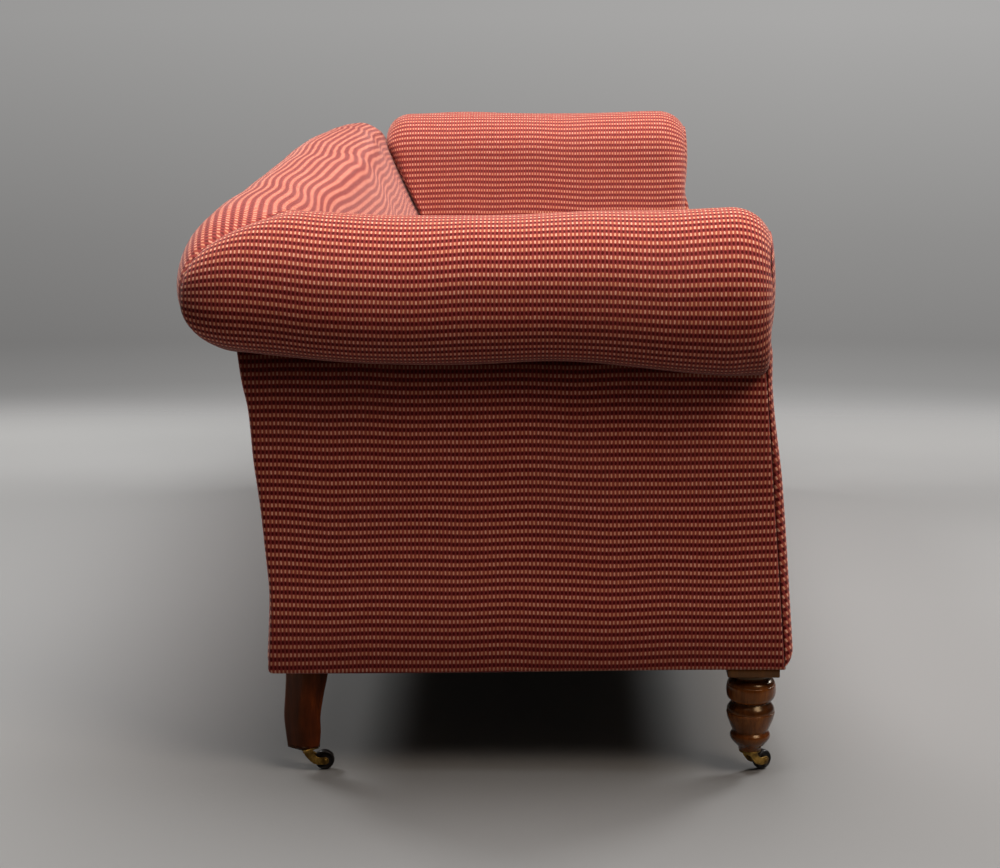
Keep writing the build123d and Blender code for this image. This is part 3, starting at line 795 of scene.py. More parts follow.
@dataclass(frozen=True)
class PlainWeave(Finish):
    """Coarse plain cloth of crossing threads: jute web, hessian or dust cloth."""

    thread: float = 0.002
    light: Colour = srgb(178, 150, 108)
    dark: Colour = srgb(104, 80, 50)

    def make(self, tree: Tree) -> bpy.types.Material:
        """Builds the crossing threads from the place on the sofa."""
        where = tree.place()
        apart = tree.node("ShaderNodeSeparateXYZ", {}, {0: where})
        depth = Value(tree, apart.socket.node.outputs[1])
        jitter = (tree.noise(where, 60.0, 2.0) - 0.5) * 0.6
        warp = abs((apart / self.thread + jitter).maths("SINE"))
        weft = abs((depth / self.thread + jitter + 1.57).maths("SINE"))
        height = warp.maths("MAXIMUM", weft)
        patches = tree.noise(where, 25.0, 3.0)
        colour = tree.mix(height * 0.7 + patches * 0.3, self.dark, self.light)
        return tree.surface(
            Base_Color=colour,
            Roughness=0.85 + patches * 0.1,
            Normal=tree.bump(height, 0.0006, 0.7),
            Sheen_Weight=0.2,
        )


@dataclass(frozen=True)
class StudioFloor(Finish):
    """Matt grey floor paper that fades out at its edges, painted with light and shade.

    The greys are (place along X, grey) pairs: painted shade towards the camera, and a painted highlight band
    far off, below the bend of the backdrop.
    """

    # painted shade near the camera and a painted highlight band far off
    greys: tuple[Point2, ...] = (
        (-3.0, 0.19), (-1.2, 0.24), (0.0, 0.25), (0.8, 0.235), (1.25, 0.29), (1.6, 0.31),
    )
    paler: Colour = (0.50, 0.50, 0.49)
    fade: Point2 = (1.30, 1.80)

    def make(self, tree: Tree) -> bpy.types.Material:
        """Builds the painted light and shade along the paper, and the fade."""
        where = tree.place()
        along = tree.node("ShaderNodeSeparateXYZ", {}, {0: where})
        aside = Value(tree, along.socket.node.outputs[1])
        low, high = self.greys[0][0], self.greys[-1][0]
        stops = [
            ((place - low) / (high - low), (grey, grey * 0.99, grey * 0.975)) for place, grey in self.greys
        ]
        mottle = tree.noise(where, 2.2, 4.0)
        share = (along - low) / (high - low) + (mottle - 0.5) * 0.06
        colour = tree.node("ShaderNodeValToRGB", {"stops": stops}, {0: share})
        # painted light: the paper paler towards +Y, on the left of the view
        colour = tree.mix(aside.ease(0.05, 0.9) * 0.16, colour, self.paler)
        tree.surface(Base_Color=colour, Roughness=0.9, Specular_IOR_Level=0.05)
        out = (abs(along) ** 8 + abs(aside) ** 8) ** 0.125
        clear = tree.node("ShaderNodeBsdfTransparent")
        whole = tree.node(
            "ShaderNodeMixShader", {},
            {0: out.ease(*self.fade), 1: Value(tree, tree.shader.outputs[0]), 2: clear},
        )
        tree.feed(tree.tree.nodes["Material Output"].inputs[0], whole)
        return tree.material


COVER = WovenCover("Woven_cover", "woven_cover")
# paler copy of the cover with painted light, for the back and the drop arm
PAINTED_LIT_COVER = WovenCover("Woven_cover_rubbed", "woven_cover", wear=0.22)
WOOD = PolishedWood("Polished_wood", "polished_wood")
REAR_WOOD = PolishedWood(
    "Rear_leg_wood", "polished_wood", srgb(28, 9, 4), srgb(88, 36, 11), srgb(160, 74, 22), 0.40, 0.04, 0.16,
    shaded_above=1.0, grimy=(1.0, 0.001),
)
BEECH = SawnWood("Sawn_beech", "beech_frame")
BRASS = WornMetal("Worn_brass", "castor_brass")
STEEL = WornMetal("Dull_steel", "hinge_steel", srgb(150, 146, 140), srgb(92, 86, 80), 0.36)
SPRING = WornMetal("Coppered_wire", "spring_steel", srgb(176, 132, 104), srgb(110, 84, 70), 0.4)
RUBBER = DarkComposition("Wheel_composition", "wheel_composition")
JUTE = PlainWeave("Jute_web", "jute_webbing")
HESSIAN = PlainWeave("Hessian", "hessian", 0.0012, srgb(190, 160, 116), srgb(122, 94, 60))
DUST_CLOTH = PlainWeave("Dust_cloth", "dust_cloth", 0.0004, srgb(40, 38, 38), srgb(18, 17, 17))
FLOOR = StudioFloor("Studio_floor")


# ---- Arms ----------------------------------------------------------------------------------------
def steps_round(shown: float, whole: float, count: int) -> list[float]:
    """Distances round a section: close together where it shows, and few in its hidden run."""
    hidden = [blend(shown, whole, share) for share in even(8)[1:]]
    return [shown * share for share in even(count)] + hidden


def held_at_tucks(around: float, shown: float, share: float, ends: Point2) -> float:
    """How firmly a cover is held: in the tuck, at its foot, and round its ends."""
    edges = smooth(*ends, min(share, 1 - share))
    return max(edges, smooth(0.05, 0.0, around), smooth(shown - 0.03, shown, around))


class Hand(Enum):
    """Which arm a piece belongs to: the sign of its X."""

    FIXED = -1
    DROP = 1

    @property
    def word(self) -> str:
        """The arm's name in piece and node names."""
        return "fixed_arm" if self is Hand.FIXED else "drop_arm"

    @property
    def body(self) -> str:
        """The body that the arm rides on."""
        return "sofa" if self is Hand.FIXED else "drop_arm"


@dataclass
class Mitre:
    """The seam where the arm's roll meets the back's, shared by both covers."""

    line: float = -0.544  # x + y all along it
    centre_z: float = 0.641
    reach: float = 0.095
    groove: float = 0.0018
    groove_width: float = 0.007
    # angle round the roll from its outer side in degrees: half widths along the mitre and up
    widths: tuple[tuple[float, float, float], ...] = (
        (-90, 0.0745, 0.082),
        (-45, 0.0730, 0.074),
        (0, 0.0715, 0.062),
        (45, 0.0735, 0.067),
        (68, 0.0720, 0.069),
        (86, 0.075, 0.071),
        (100, 0.096, 0.083),
        (130, 0.096, 0.120),
        (150, 0.092, 0.150),
    )

    def seam(self, angle: float) -> Point2:
        """The seam's offset along the mitre and its height, for an angle round the roll in degrees."""
        wide = through([(row[0], row[1]) for row in self.widths], angle)
        tall = through([(row[0], row[2]) for row in self.widths], angle)
        turn = radians(angle)
        return wide * cos(turn), self.centre_z + tall * sin(turn)

    def pull(self, distance: float, angle: float) -> float:
        """How far a cover gives way to the seam, at this distance from it."""
        near = (1 - min(max(distance, 0.0) / self.reach, 1.0)) ** 2
        return near * (1 - smooth(118, 150, angle))

    def pinch(self, distance: float) -> float:
        """How much the roll is drawn in at the stitching."""
        return self.groove * (1 - smooth(0, self.groove_width, distance))


MITRE = Mitre()


@dataclass
class ArmCover:
    """Inside cover of an arm with its roll, and the end covers of the arm."""

    hand: Hand
    end_rounding: float = 0.031
    # at the front, by height
    wall_rounding: tuple[Point2, ...] = ((0.40, 0.002), (0.46, 0.011), (0.62, 0.031))
    # of the roll's lower front, outside
    outer_rounding: tuple[Point2, ...] = ((0.545, 0.009), (0.60, 0.031))
    shoulder: float = 0.60  # above this height the roll's ends are fuller
    tuck: Point2 = (0.007, -0.0947)  # where the roll ends below, from its middle
    timber: float = 0.572  # top of the hidden run
    dome: Point2 = (0.055, 0.0065)  # radius of the roll's upper front edge, and how far it is cut off
    rear_rounding: tuple[float, float] = (0.004, 0.046)  # of the free end, low down and at the roll
    wall_fade: float = 0.45  # below this height the wall keeps the plain section
    crest: tuple[Point2, ...] = (
        (-0.331, 0.7435), (-0.189, 0.738), (-0.04, 0.7345), (0.10, 0.732), (0.19, 0.736), (0.25, 0.741),
    )
    under: tuple[Point2, ...] = (
        (-0.331, 0.5335), (-0.263, 0.539), (-0.189, 0.547), (-0.09, 0.5525), (0.083, 0.549), (0.194, 0.5535),
        (0.306, 0.561),
    )
    hang: float = 0.008  # fullness of the roll's lower outside
    droop: float = 0.006  # how far the roll's outer side sinks
    overhang: float = 0.006  # of the drop arm's roll over the inside back
    level_crest: float = 0.7405
    rear_dip: float = 0.004  # how far that crest falls towards the drop arm's free end
    level_under: float = 0.551
    loop: Path = field(init=False)
    shown: float = field(init=False)

    def __post_init__(self) -> None:
        """Draws the section: inside wall, roll, and the closing run inside the timber."""
        tangent = LINES.arm_tangent()
        centre = (LINES.arm_x, LINES.arm_z)
        lowest = degrees(atan2(self.tuck[1], self.tuck[0]))
        base = LINES.seat_base if self.hand is Hand.FIXED else LINES.drop_base + 0.001
        self.loop = Path((LINES.inside_arm(base), base)).line(tangent)
        self.loop.arc(centre, LINES.arm_radius, 180 - degrees(LINES.arm_rake), lowest)
        self.shown = self.loop.length
        inner = LINES.frame_inner - 0.001
        self.loop.line((LINES.frame_side - 0.001, self.timber), (inner, self.timber), (inner, base))
        self.loop.line((LINES.inside_arm(base), base))

    def face_y(self, z: float) -> float:
        """The front of the stuffing behind the facing."""
        return min(LINES.front_y(z), LINES.facing_front) + 0.0065

    def rear_y(self, z: float, x: float) -> float:
        """The far end of the cover at this height and distance from the middle."""
        if self.hand is Hand.FIXED:
            return MITRE.line + x
        tangent_z = LINES.back_tangent()[1]
        return LINES.inside_back(min(z, tangent_z)) - 0.0005 + self.overhang * smooth(self.shoulder, 0.715, z)

    def heights(self, y: float) -> Point2:
        """Crest and underside of the roll at this place along it."""
        if self.hand is Hand.FIXED:
            return through(self.crest, y), through(self.under, y)
        crest = self.level_crest - self.rear_dip * smooth(0.02, 0.16, y)
        return crest + 0.0015 * sin(y * 15), self.level_under + 0.002 * sin(y * 11 + 1)

    def front_radius(self, dx: float, z: float) -> Point2:
        """Radius of the front edge and how far it is cut off: wide on top, close on the inside wall."""
        if z > self.shoulder:
            share = smooth(self.shoulder, 0.70, z)
            return blend(self.end_rounding, self.dome[0], share), self.dome[1] * share
        return (through(self.wall_rounding, z) if dx < 0 else through(self.outer_rounding, z)), 0.0

    def rear_radius(self, z: float) -> float:
        """Radius of the drop arm's free rear edge at this height."""
        return blend(*self.rear_rounding, smooth(self.shoulder, 0.71, z))

    def place(self, around: float, share: float) -> Vector:
        """The point of the cover at this distance round the section and share of its length."""
        x, z = self.loop.at(around)
        shown = around < self.shown + 1e-6
        dx, dz = x - LINES.arm_x, z - LINES.arm_z
        angle = degrees(atan2(dz, dx))
        y = blend(self.face_y(z), self.rear_y(z, x), share)
        if shown:
            crest, under = self.heights(y)
            middle, tall = (crest + under) / 2, (crest - under) / 2
            weight = smooth(self.wall_fade, LINES.arm_z, z) if dx < 0 and z < LINES.arm_z + 0.05 else 1.0
            droop = self.droop * max(dx / LINES.arm_radius, 0) ** 2
            z = blend(z, middle + dz * tall / LINES.arm_radius - droop, weight)
            if -90 < angle < 0:
                full = self.hang * sin(radians(-2 * angle)) * smooth(0.0, 0.06, y - self.face_y(z))
                x += full * cos(radians(angle))
                z += full * sin(radians(angle))
            if self.hand is Hand.FIXED:
                x, y, z = self.to_seam(x, y, z, angle, share)
        radius, start = self.front_radius(dx, z)
        inset = drawn_in(max(y - self.face_y(z), 0.0) + start, radius)
        if self.hand is Hand.DROP:
            inset = max(inset, drawn_in(self.rear_y(z, x) - y, self.rear_radius(z)))
        if shown:
            out = self.loop.outward(around)
            soft = lumps(Vector((x, y, z)), 0.0035, 0.13, 3.0 * self.hand.value) * smooth(0, 0.05, share)
            move = (soft - inset) * smooth(0.0, 0.012, around)
            x += out[0] * move
            z += out[1] * move
        elif z > 0.5:
            z += inset
        return Vector((self.hand.value * x, y, z))

    def to_seam(
        self, x: float, y: float, z: float, angle: float, share: float
    ) -> tuple[float, float, float]:
        """Draws a point of the fixed arm's roll towards the mitre seam."""
        if angle > 175 or angle < -89:
            return x, y, z
        distance = MITRE.line + x - y
        pull = MITRE.pull(distance, angle)
        offset, height = MITRE.seam(angle)
        seam_x = LINES.arm_x + offset
        x = blend(x, seam_x, pull)
        z = blend(z, height, pull)
        length = MITRE.line + x - self.face_y(z)
        y = self.face_y(z) + length * share
        pinch = MITRE.pinch(MITRE.line + x - y) * (1 - smooth(140, 165, angle))
        turn = radians(angle)
        return x - pinch * cos(turn), y, z - pinch * sin(turn)

    def weave(self, around: float, share: float, point: Vector) -> Point2:
        """Rows follow the arm, and wrap round its ends without stretching."""
        x, z = self.loop.at(around)
        radius, start = self.front_radius(x - LINES.arm_x, z)
        along = point.y - taken_up(max(point.y - self.face_y(z), 0.0) + start, radius)
        if self.hand is Hand.DROP:
            along += taken_up(self.rear_y(z, x) - point.y, self.rear_radius(z))
        return along, around

    def fold(self, around: float, share: float, point: Vector) -> float:
        """How dark a point is painted with shade: in the tuck under the roll and in the mitre seam."""
        x, z = self.loop.at(around)
        # painted shade: in the tuck under the roll, and in the mitre seam on the fixed arm
        depth = smooth(0.085, 0.010, self.shown - around) * 0.68
        if self.hand is Hand.FIXED and z > 0.57:
            depth = max(depth, smooth(0.0030, 0.0012, MITRE.line - point.x - point.y) * 0.6)
        return depth

    def held(self, around: float, share: float) -> float:
        """How firmly the cover is held."""
        return held_at_tucks(around, self.shown, share, (0.07, 0.015))

    def build(self) -> bpy.types.Object:
        around = steps_round(self.shown, self.loop.length, 108)
        piece = cloth_sheet(
            f"{self.hand.word}_cover", COVER if self.hand is Hand.FIXED else PAINTED_LIT_COVER,
            around, crowded(118), self.place, self.weave, True, self.fold, self.held,
        )
        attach(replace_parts(piece, f"{self.hand.word}_pad"), self.hand.body)
        return piece


# ---- Back ----------------------------------------------------------------------------------------
@dataclass
class BackCover:
    """Inside back with its roll, from the mitre to its end at the drop arm."""

    end: float = 0.846
    crest: tuple[Point2, ...] = (
        (-0.9, 0.742), (0.20, 0.742), (0.345, 0.7385), (0.718, 0.7235), (0.85, 0.7175),
    )
    shoulder: tuple[Point2, ...] = ((0.25, 0.0), (0.72, 0.007), (0.85, 0.006))
    depth: tuple[Point2, ...] = ((0.30, 1.0), (0.60, 0.95), (0.76, 0.82), (0.85, 0.70))
    slope: tuple[Point2, ...] = (
        (-0.75, -0.003), (-0.42, 0.0005), (0.25, 0.0015), (0.5, 0.001), (0.85, 0.001),
    )
    under: float = 0.562
    tuck: float = -84.6  # where the roll ends below, in degrees
    timber: float = 0.598  # top of the hidden run
    sag: tuple[Point2, ...] = ((-0.55, 0.006), (-0.1, 0.011), (0.85, 0.012))
    # depth of the cross ridges at angles round the roll in degrees, then down the inside
    ridge: tuple[Point2, ...] = ((60, 0.0002), (88, 0.0006), (108, 0.0042), (152, 0.0040))
    drawn: Point2 = (0.0048, 0.0052)
    crown: float = 0.028  # of the stuffed inside, in the middle of the back
    end_rounding: float = 0.020
    loop: Path = field(init=False)
    shown: float = field(init=False)

    def __post_init__(self) -> None:
        """Draws the section from the seat up over the roll."""
        base = LINES.seat_base
        tangent = LINES.back_tangent()
        centre = (LINES.back_y, LINES.back_z)
        self.loop = Path((LINES.inside_back(base), base))
        self.loop.line((LINES.inside_back(LINES.waist), LINES.waist), tangent)
        self.loop.arc(centre, LINES.back_radius, 180 - degrees(LINES.back_rake), self.tuck)
        self.shown = self.loop.length
        rear = LINES.rear_y(0.60)
        self.loop.line((rear - 0.008, self.timber), (rear - 0.039, self.timber))
        self.loop.line((LINES.rear_y(base) - 0.039, base), (LINES.inside_back(base), base))

    @staticmethod
    def wave(x: float) -> float:
        """Long swells of the stuffing along the back."""
        return 0.80 * cos(2 * pi * (x + 0.13) / 0.56) + 0.30 * cos(2 * pi * x / 0.29 + 1.0)

    def ridges(self, x: float, z: float) -> float:
        """Cross ridges along the back, gone near its ends."""
        return self.wave(x + 0.04 * sin(z * 9)) * smooth(-0.80, -0.62, x) * (1 - smooth(0.70, 0.84, x))

    def crowned(self, x: float, z: float, angle: float) -> float:
        """Fullness of the inside back in the middle of its length."""
        along = smooth(-0.72, -0.15, x) * (1 - smooth(0.10, 0.68, x))
        return self.crown * along * smooth(0.45, 0.59, z) * smooth(108, 150, angle)

    def weave(self, around: float, share: float, point: Vector) -> Point2:
        """Rows follow the back, drawn into gentle waves by the stuffing."""
        drawn = blend(*self.drawn, smooth(0.48, 0.38, around)) * (1 - smooth(0.60, 0.66, around))
        return point.x, around + drawn * self.wave(point.x) * smooth(-0.86, -0.66, point.x)

    def place(self, around: float, share: float) -> Vector:
        """The point of the cover at this distance round the section and share of its length."""
        y, z = self.loop.at(around)
        shown = around < self.shown + 1e-6
        dy, dz = y - LINES.back_y, z - LINES.back_z
        angle = degrees(atan2(dz, dy))
        x = blend(MITRE.line - y, self.end, share)
        if not shown:
            return Vector((x, y, z))
        crest = through(self.crest, x)
        middle, tall = (crest + self.under) / 2, (crest - self.under) / 2
        weight = smooth(0.45, LINES.back_z, z) if dy < 0 and z < LINES.back_z + 0.05 else 1.0
        outer = max(dy / LINES.back_radius, 0.0)
        z = blend(z, middle + dz * tall / LINES.back_radius - through(self.sag, x) * outer**2, weight)
        if dy > 0:
            y = LINES.back_y + dy * through(self.depth, x)
        if angle > -89 and angle < 160:
            distance = x - (MITRE.line - y)
            pull = MITRE.pull(distance, angle)
            offset, height = MITRE.seam(angle)
            y = blend(y, LINES.back_y + offset, pull)
            z = blend(z, height, pull)
            start = MITRE.line - y
            x = start + (self.end - start) * share
            pinch = MITRE.pinch(x - start) * (1 - smooth(140, 158, angle))
            turn = radians(angle)
            y -= pinch * cos(turn)
            z -= pinch * sin(turn)
        out = self.loop.outward(around)
        about = angle if angle > -100 else 180.0
        swell = self.crowned(x, z, about)
        swell += self.ridges(x, z) * through(self.ridge, about) * smooth(0.44, 0.58, z)
        swell += lumps(Vector((x, y, z)), 0.0014, 0.15, 7.0) * smooth(0, 0.05, share)
        swell += through(self.shoulder, x) * smooth(88, 112, angle) * (1 - smooth(130, 158, angle))
        swell -= through(self.slope, x) * smooth(-10, 45, angle) * (1 - smooth(60, 110, angle))
        swell -= drawn_in(self.end - x, self.end_rounding)
        swell *= smooth(0.0, 0.012, around)
        return Vector((x, y + out[0] * swell, z + out[1] * swell))

    def held(self, around: float, share: float) -> float:
        """How firmly the cover is held."""
        return held_at_tucks(around, self.shown, share, (0.035, 0.008))

    def build(self) -> bpy.types.Object:
        around = steps_round(self.shown, self.loop.length, 112)
        piece = cloth_sheet(
            "back_cover", PAINTED_LIT_COVER, around, crowded(230), self.place, self.weave, wrap=True,
            held=self.held,
        )
        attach(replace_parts(piece, "back_pad"), "sofa")
        return piece


# ---- Stuffed panels ------------------------------------------------------------------------------
@dataclass
class Panel:
    """A stuffed cover laid on one side of the frame, rounded over at its edges.

    low and high give its two limits at each height; lay puts a point of it in space, given its
    place across, its height and how far it stands out.
    """

    name: str
    nodes: tuple[str, ...]
    body: str
    bottom: float
    top: float
    low: Callable[[float], float]
    high: Callable[[float], float]
    lay: Callable[[float, float, float], Vector]
    thickness: float = 0.010
    rounding: float = 0.010
    bulge: float = 0.004
    slant: float = 0.0  # of the weave's rows, in radians
    lip: float = 0.0  # how far its edges swell sideways
    hem: Callable[[float], float] = field(default=lambda across: 0.0)
    thin: Callable[[float], float] = field(default=lambda z: 1.0)  # share of the thickness at a height
    swell: Callable[[float, float], float] = field(default=lambda a, z: 0.0)  # extra fullness
    columns: int = 70
    rows: int = 60
    round_top: bool = True
    top_rounding: float = 0.0  # a wider one, where the panel is drawn in under a roll
    seams: Point2 = (0.0, 0.0)  # how wide the painted shade of the seams at its low and high edges is
    soil: float = 0.0  # how much painted shade darkens its foot

    def edge(self, distance: float) -> float:
        """Share of the thickness at this distance from an edge."""
        share = min(max(distance, 0.0) / self.rounding, 1.0)
        return sqrt(1 - (1 - share) ** 2)

    def place(self, across: float, up: float) -> Vector:
        """The point at a share of the width, past 1 on its way back behind, and of the height."""
        if across > 1:
            return self.behind(2 - across, up)
        z = blend(self.bottom, self.top, up)
        low, high = self.low(z), self.high(z)
        a = blend(low, high, across)
        out = self.edge(a - low) * self.edge(high - a) * self.edge(z - self.bottom)
        rim = self.edge(min(a - low, high - a))
        a += self.lip * 4 * rim * (1 - rim) * (1 if high - a < a - low else -1)
        if self.round_top:
            out *= self.edge(self.top - z)
        if self.top_rounding:
            out *= smooth(self.top + 0.004, self.top - self.top_rounding, z)
        full = (4 * across * (1 - across)) ** 0.7 * (4 * up * (1 - up)) ** 0.7
        z += self.hem(a) * (1 - up) ** 3
        flat = self.lay(a, z, 0.0)
        soft = lumps(flat, 0.0022, 0.11, 1.5) * full
        fullness = self.swell(a, z) * self.edge(min(a - low, high - a))
        return self.lay(a, z, self.thickness * self.thin(z) * out + self.bulge * full + soft + fullness)

    def behind(self, across: float, up: float) -> Vector:
        """The point on the hidden side of the panel."""
        z = blend(self.bottom, self.top, up)
        a = blend(self.low(z), self.high(z), across)
        return self.lay(a, z + self.hem(a) * (1 - up) ** 3, -0.0015 if 0 < across < 1 else 0.0)

    def weave(self, across: float, up: float, point: Vector) -> Point2:
        """The weave lies true to the panel and turns round its edges without stretching."""
        z = blend(self.bottom, self.top, up)
        low, high = self.low(z), self.high(z)
        a = blend(low, high, min(across, 2 - across))
        a += taken_up(high - a, self.rounding) - taken_up(a - low, self.rounding)
        return a * cos(self.slant) - z * sin(self.slant), a * sin(self.slant) + z * cos(self.slant)

    def fold(self, across: float, up: float, point: Vector) -> float:
        """How dark a point is painted with shade: in the panel's seams, in the tuck under the roll and at its
        foot.
        """
        z = blend(self.bottom, self.top, up)
        low, high = self.low(z), self.high(z)
        a = blend(low, high, min(across, 2 - across))
        # painted shade: in the tuck under the roll, at the foot and along the seams
        depth = smooth(self.top - 0.075, self.top - 0.030, z) * 0.6 if self.top_rounding else 0.0
        depth = max(depth, smooth(self.bottom + 0.11, self.bottom, z) * self.soil)
        for distance, width in zip((a - low, high - a), self.seams):
            if width:
                depth = max(depth, smooth(width, 0.6 * width, distance))
        return depth

    def build(self) -> bpy.types.Object:
        across = crowded(self.columns) + [1.03, 1.25, 1.5, 1.75, 1.97, 2.0]
        piece = cloth_sheet(
            self.name, COVER, across, crowded(self.rows), self.place, self.weave, True, self.fold
        )
        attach(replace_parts(piece, *self.nodes), self.body)
        return piece


@dataclass
class OutsideCovers:
    """Outside covers of the arms, the back and the rail below the drop arm."""

    tuck: float = 0.030  # how far a panel runs up under its roll
    drawn_in: float = 0.055
    corner: float = 0.006
    hem: tuple[Point2, ...] = ((-0.36, -0.002), (0.10, -0.0085), (0.27, -0.010))
    rear_line: tuple[Point2, ...] = (
        (0.15, 0.2835), (0.20, 0.281), (0.25, 0.2795), (0.306, 0.284), (0.362, 0.289), (0.419, 0.296),
        (0.485, 0.3015), (0.522, 0.309), (0.561, 0.314), (0.58, 0.316),
    )

    def rear(self, z: float) -> float:
        """The outside back at this height, drawn in between its rails."""
        return through(self.rear_line, z)

    def rounded_rear(self, z: float) -> float:
        """The rear edge of the side, rounded at its foot."""
        short = max(self.corner - (z - LINES.hem), 0.0)
        return self.rear(z) - self.corner + sqrt(max(self.corner**2 - short**2, 0.0))

    def lay_side(self, sign: int) -> Callable[[float, float, float], Vector]:
        """Lays a panel on the outside of an arm."""
        return lambda a, z, out: Vector((sign * (LINES.side - 0.008 + out), a, z))

    def build(self) -> None:
        """Builds the four outside covers."""
        under_roll = 0.553 + self.tuck
        Panel(
            "fixed_arm_outside_cover", ("fixed_arm_outside",), "sofa", LINES.hem, under_roll,
            lambda z: LINES.front_y(z) + 0.003, self.rounded_rear, self.lay_side(-1), rounding=0.005,
            columns=110, rows=90, round_top=False, top_rounding=self.drawn_in, bulge=0.006,
            hem=lambda a: through(self.hem, a), seams=(0.0020, 0.0), soil=0.40,
        ).build()
        Panel(
            "drop_arm_outside_cover", ("drop_arm_outside",), "drop_arm", LINES.drop_hem, under_roll,
            lambda z: LINES.front_y(z) + 0.003, lambda z: LINES.inside_back(z) - LINES.gap - 0.002,
            self.lay_side(1), columns=90, rows=70, round_top=False, top_rounding=self.drawn_in, bulge=0.006,
            rounding=0.006,
        ).build()
        Panel(
            "right_rail_outside_cover", ("right_rail_cover",), "sofa", LINES.hem, LINES.rail_cover,
            lambda z: LINES.front_y(z) + 0.003, lambda z: LINES.rear_y(z) - 0.002, self.lay_side(1),
            columns=110, rows=36, bulge=0.001,
        ).build()
        Panel(
            "back_outside_cover", ("outside_back",), "sofa", LINES.hem, 0.576,
            lambda z: -LINES.frame_side - 0.004, lambda z: LINES.frame_side,
            lambda a, z, out: Vector((a, self.rear(z) - 0.006 + out, z)),
            thickness=0.007, columns=200, rows=80, round_top=False, bulge=0.002,
        ).build()


@dataclass
class EndFacings:
    """Facings on the front of the arms, on the drop arm's rear and on the back's end."""

    head: float = 0.066  # radius of the facing on the end of a roll
    inner_margin: tuple[Point2, ...] = ((0.40, 0.002), (0.46, 0.010), (0.62, 0.028))
    crown: float = 0.0075
    foot: float = 0.0055
    back_head: Point2 = (0.290, 0.640)  # middle of the round head on the back's end
    back_radius: float = 0.072

    def head_chord(self, z: float) -> float:
        """Half the width of the facing's round head at height z."""
        return sqrt(max(self.head**2 - (z - LINES.arm_z) ** 2, 0.0))

    def arm_outer(self, z: float) -> float:
        """Outer edge of an arm facing."""
        if z < LINES.arm_z - self.head:
            return LINES.side - 0.001
        reach = LINES.arm_x + self.head_chord(z)
        return max(LINES.side, reach) if z < LINES.arm_z else reach

    def arm_inner(self, z: float) -> float:
        """Inner edge of an arm facing, which narrows below the roll."""
        wall = LINES.inside_arm(max(z, LINES.seat_base)) + through(self.inner_margin, z)
        if z < LINES.arm_z:
            return min(wall, LINES.arm_x - self.head_chord(z)) if z > LINES.arm_z - self.head else wall
        return max(LINES.arm_x - self.head_chord(z), 0.0)

    def front(self, sign: int) -> Callable[[float, float, float], Vector]:
        """Lays a facing on the front."""

        def lay(a: float, z: float, out: float) -> Vector:
            """The point on the front, this far out."""
            return Vector((sign * a, min(LINES.front_y(z), LINES.facing_front) + 0.009 - out, z))

        return lay

    def head_swell(self, a: float, z: float) -> float:
        """Fullness of a front facing: a crowned head, and a stuffed foot."""
        away = hypot(a - LINES.arm_x, z - LINES.arm_z) / 0.080
        head = self.crown * max(1 - away**2, 0.0) * smooth(0.555, 0.60, z)
        return head + self.foot * smooth(0.50, 0.39, z) * smooth(LINES.hem, 0.175, z)

    def rear(self, a: float, z: float, out: float) -> Vector:
        """The point on the drop arm's rear end, this far out."""
        return Vector((a, ArmCover(Hand.DROP).rear_y(z, a) - 0.0045 + out, z))

    def build(self) -> None:
        """Builds the facings."""
        top = LINES.arm_z + self.head
        for sign, word, body, bottom in (
            (-1, "fixed_arm", "sofa", LINES.hem), (1, "drop_arm", "drop_arm", LINES.drop_hem),
        ):
            Panel(
                f"{word}_front_facing", (f"{word}_facing",), body, bottom, top,
                self.arm_inner, self.arm_outer, self.front(sign),
                thickness=0.0115, rounding=0.012, bulge=0.001, slant=radians(21), lip=0.001,
                columns=60, rows=110, round_top=False, swell=self.head_swell, seams=(0.0, 0.0020),
                thin=lambda z: 1 - 0.78 * smooth(0.555, 0.60, z),
            ).build()
        Panel(
            "drop_arm_rear_facing", (), "drop_arm", LINES.drop_hem, 0.62,
            self.arm_inner, self.arm_outer, self.rear,
            thickness=0.006, rounding=0.012, bulge=0.001, slant=0.0, columns=60, rows=100, round_top=False,
            thin=lambda z: 1 - smooth(0.54, 0.61, z),
        ).build()
        Panel(
            "drop_end_front_facing", ("drop_end_lower_facing",), "sofa", LINES.hem, LINES.rail_cover,
            lambda z: LINES.inside_arm(LINES.seat_base), lambda z: LINES.side, self.front(1),
            thickness=0.011, rounding=0.010, bulge=0.002, columns=60, rows=36,
        ).build()
        self.back_end()

    def back_end(self) -> None:
        """Builds the facing that closes the back beside the drop arm."""
        centre, radius = self.back_head, self.back_radius

        def chord(z: float) -> float:
            """Half the width of the round head."""
            return sqrt(max(radius**2 - (z - centre[1]) ** 2, 0.0))

        def rear(z: float) -> float:
            """Rear edge of the facing."""
            plain = max(LINES.rear_y(z) - 0.003, OutsideCovers().rear(z) - 0.003 * smooth(0.53, 0.46, z))
            if z < centre[1] - radius:
                return plain
            return max(plain, centre[0] + chord(z)) if z < centre[1] else centre[0] + chord(z)

        def inner(z: float) -> float:
            """Front edge of the facing."""
            wall = LINES.inside_back(z) + 0.010
            if z >= centre[1]:
                return centre[0] - chord(z)
            return min(wall, centre[0] - chord(z)) if z > centre[1] - radius else wall

        Panel(
            "back_end_cover", ("back_end_facing",), "sofa", 0.259, centre[1] + radius,
            inner, rear, lambda a, z, out: Vector((LINES.frame_side + out, a, z)),
            thickness=0.013, rounding=0.014, bulge=0.003, columns=56, rows=100, round_top=False,
        ).build()


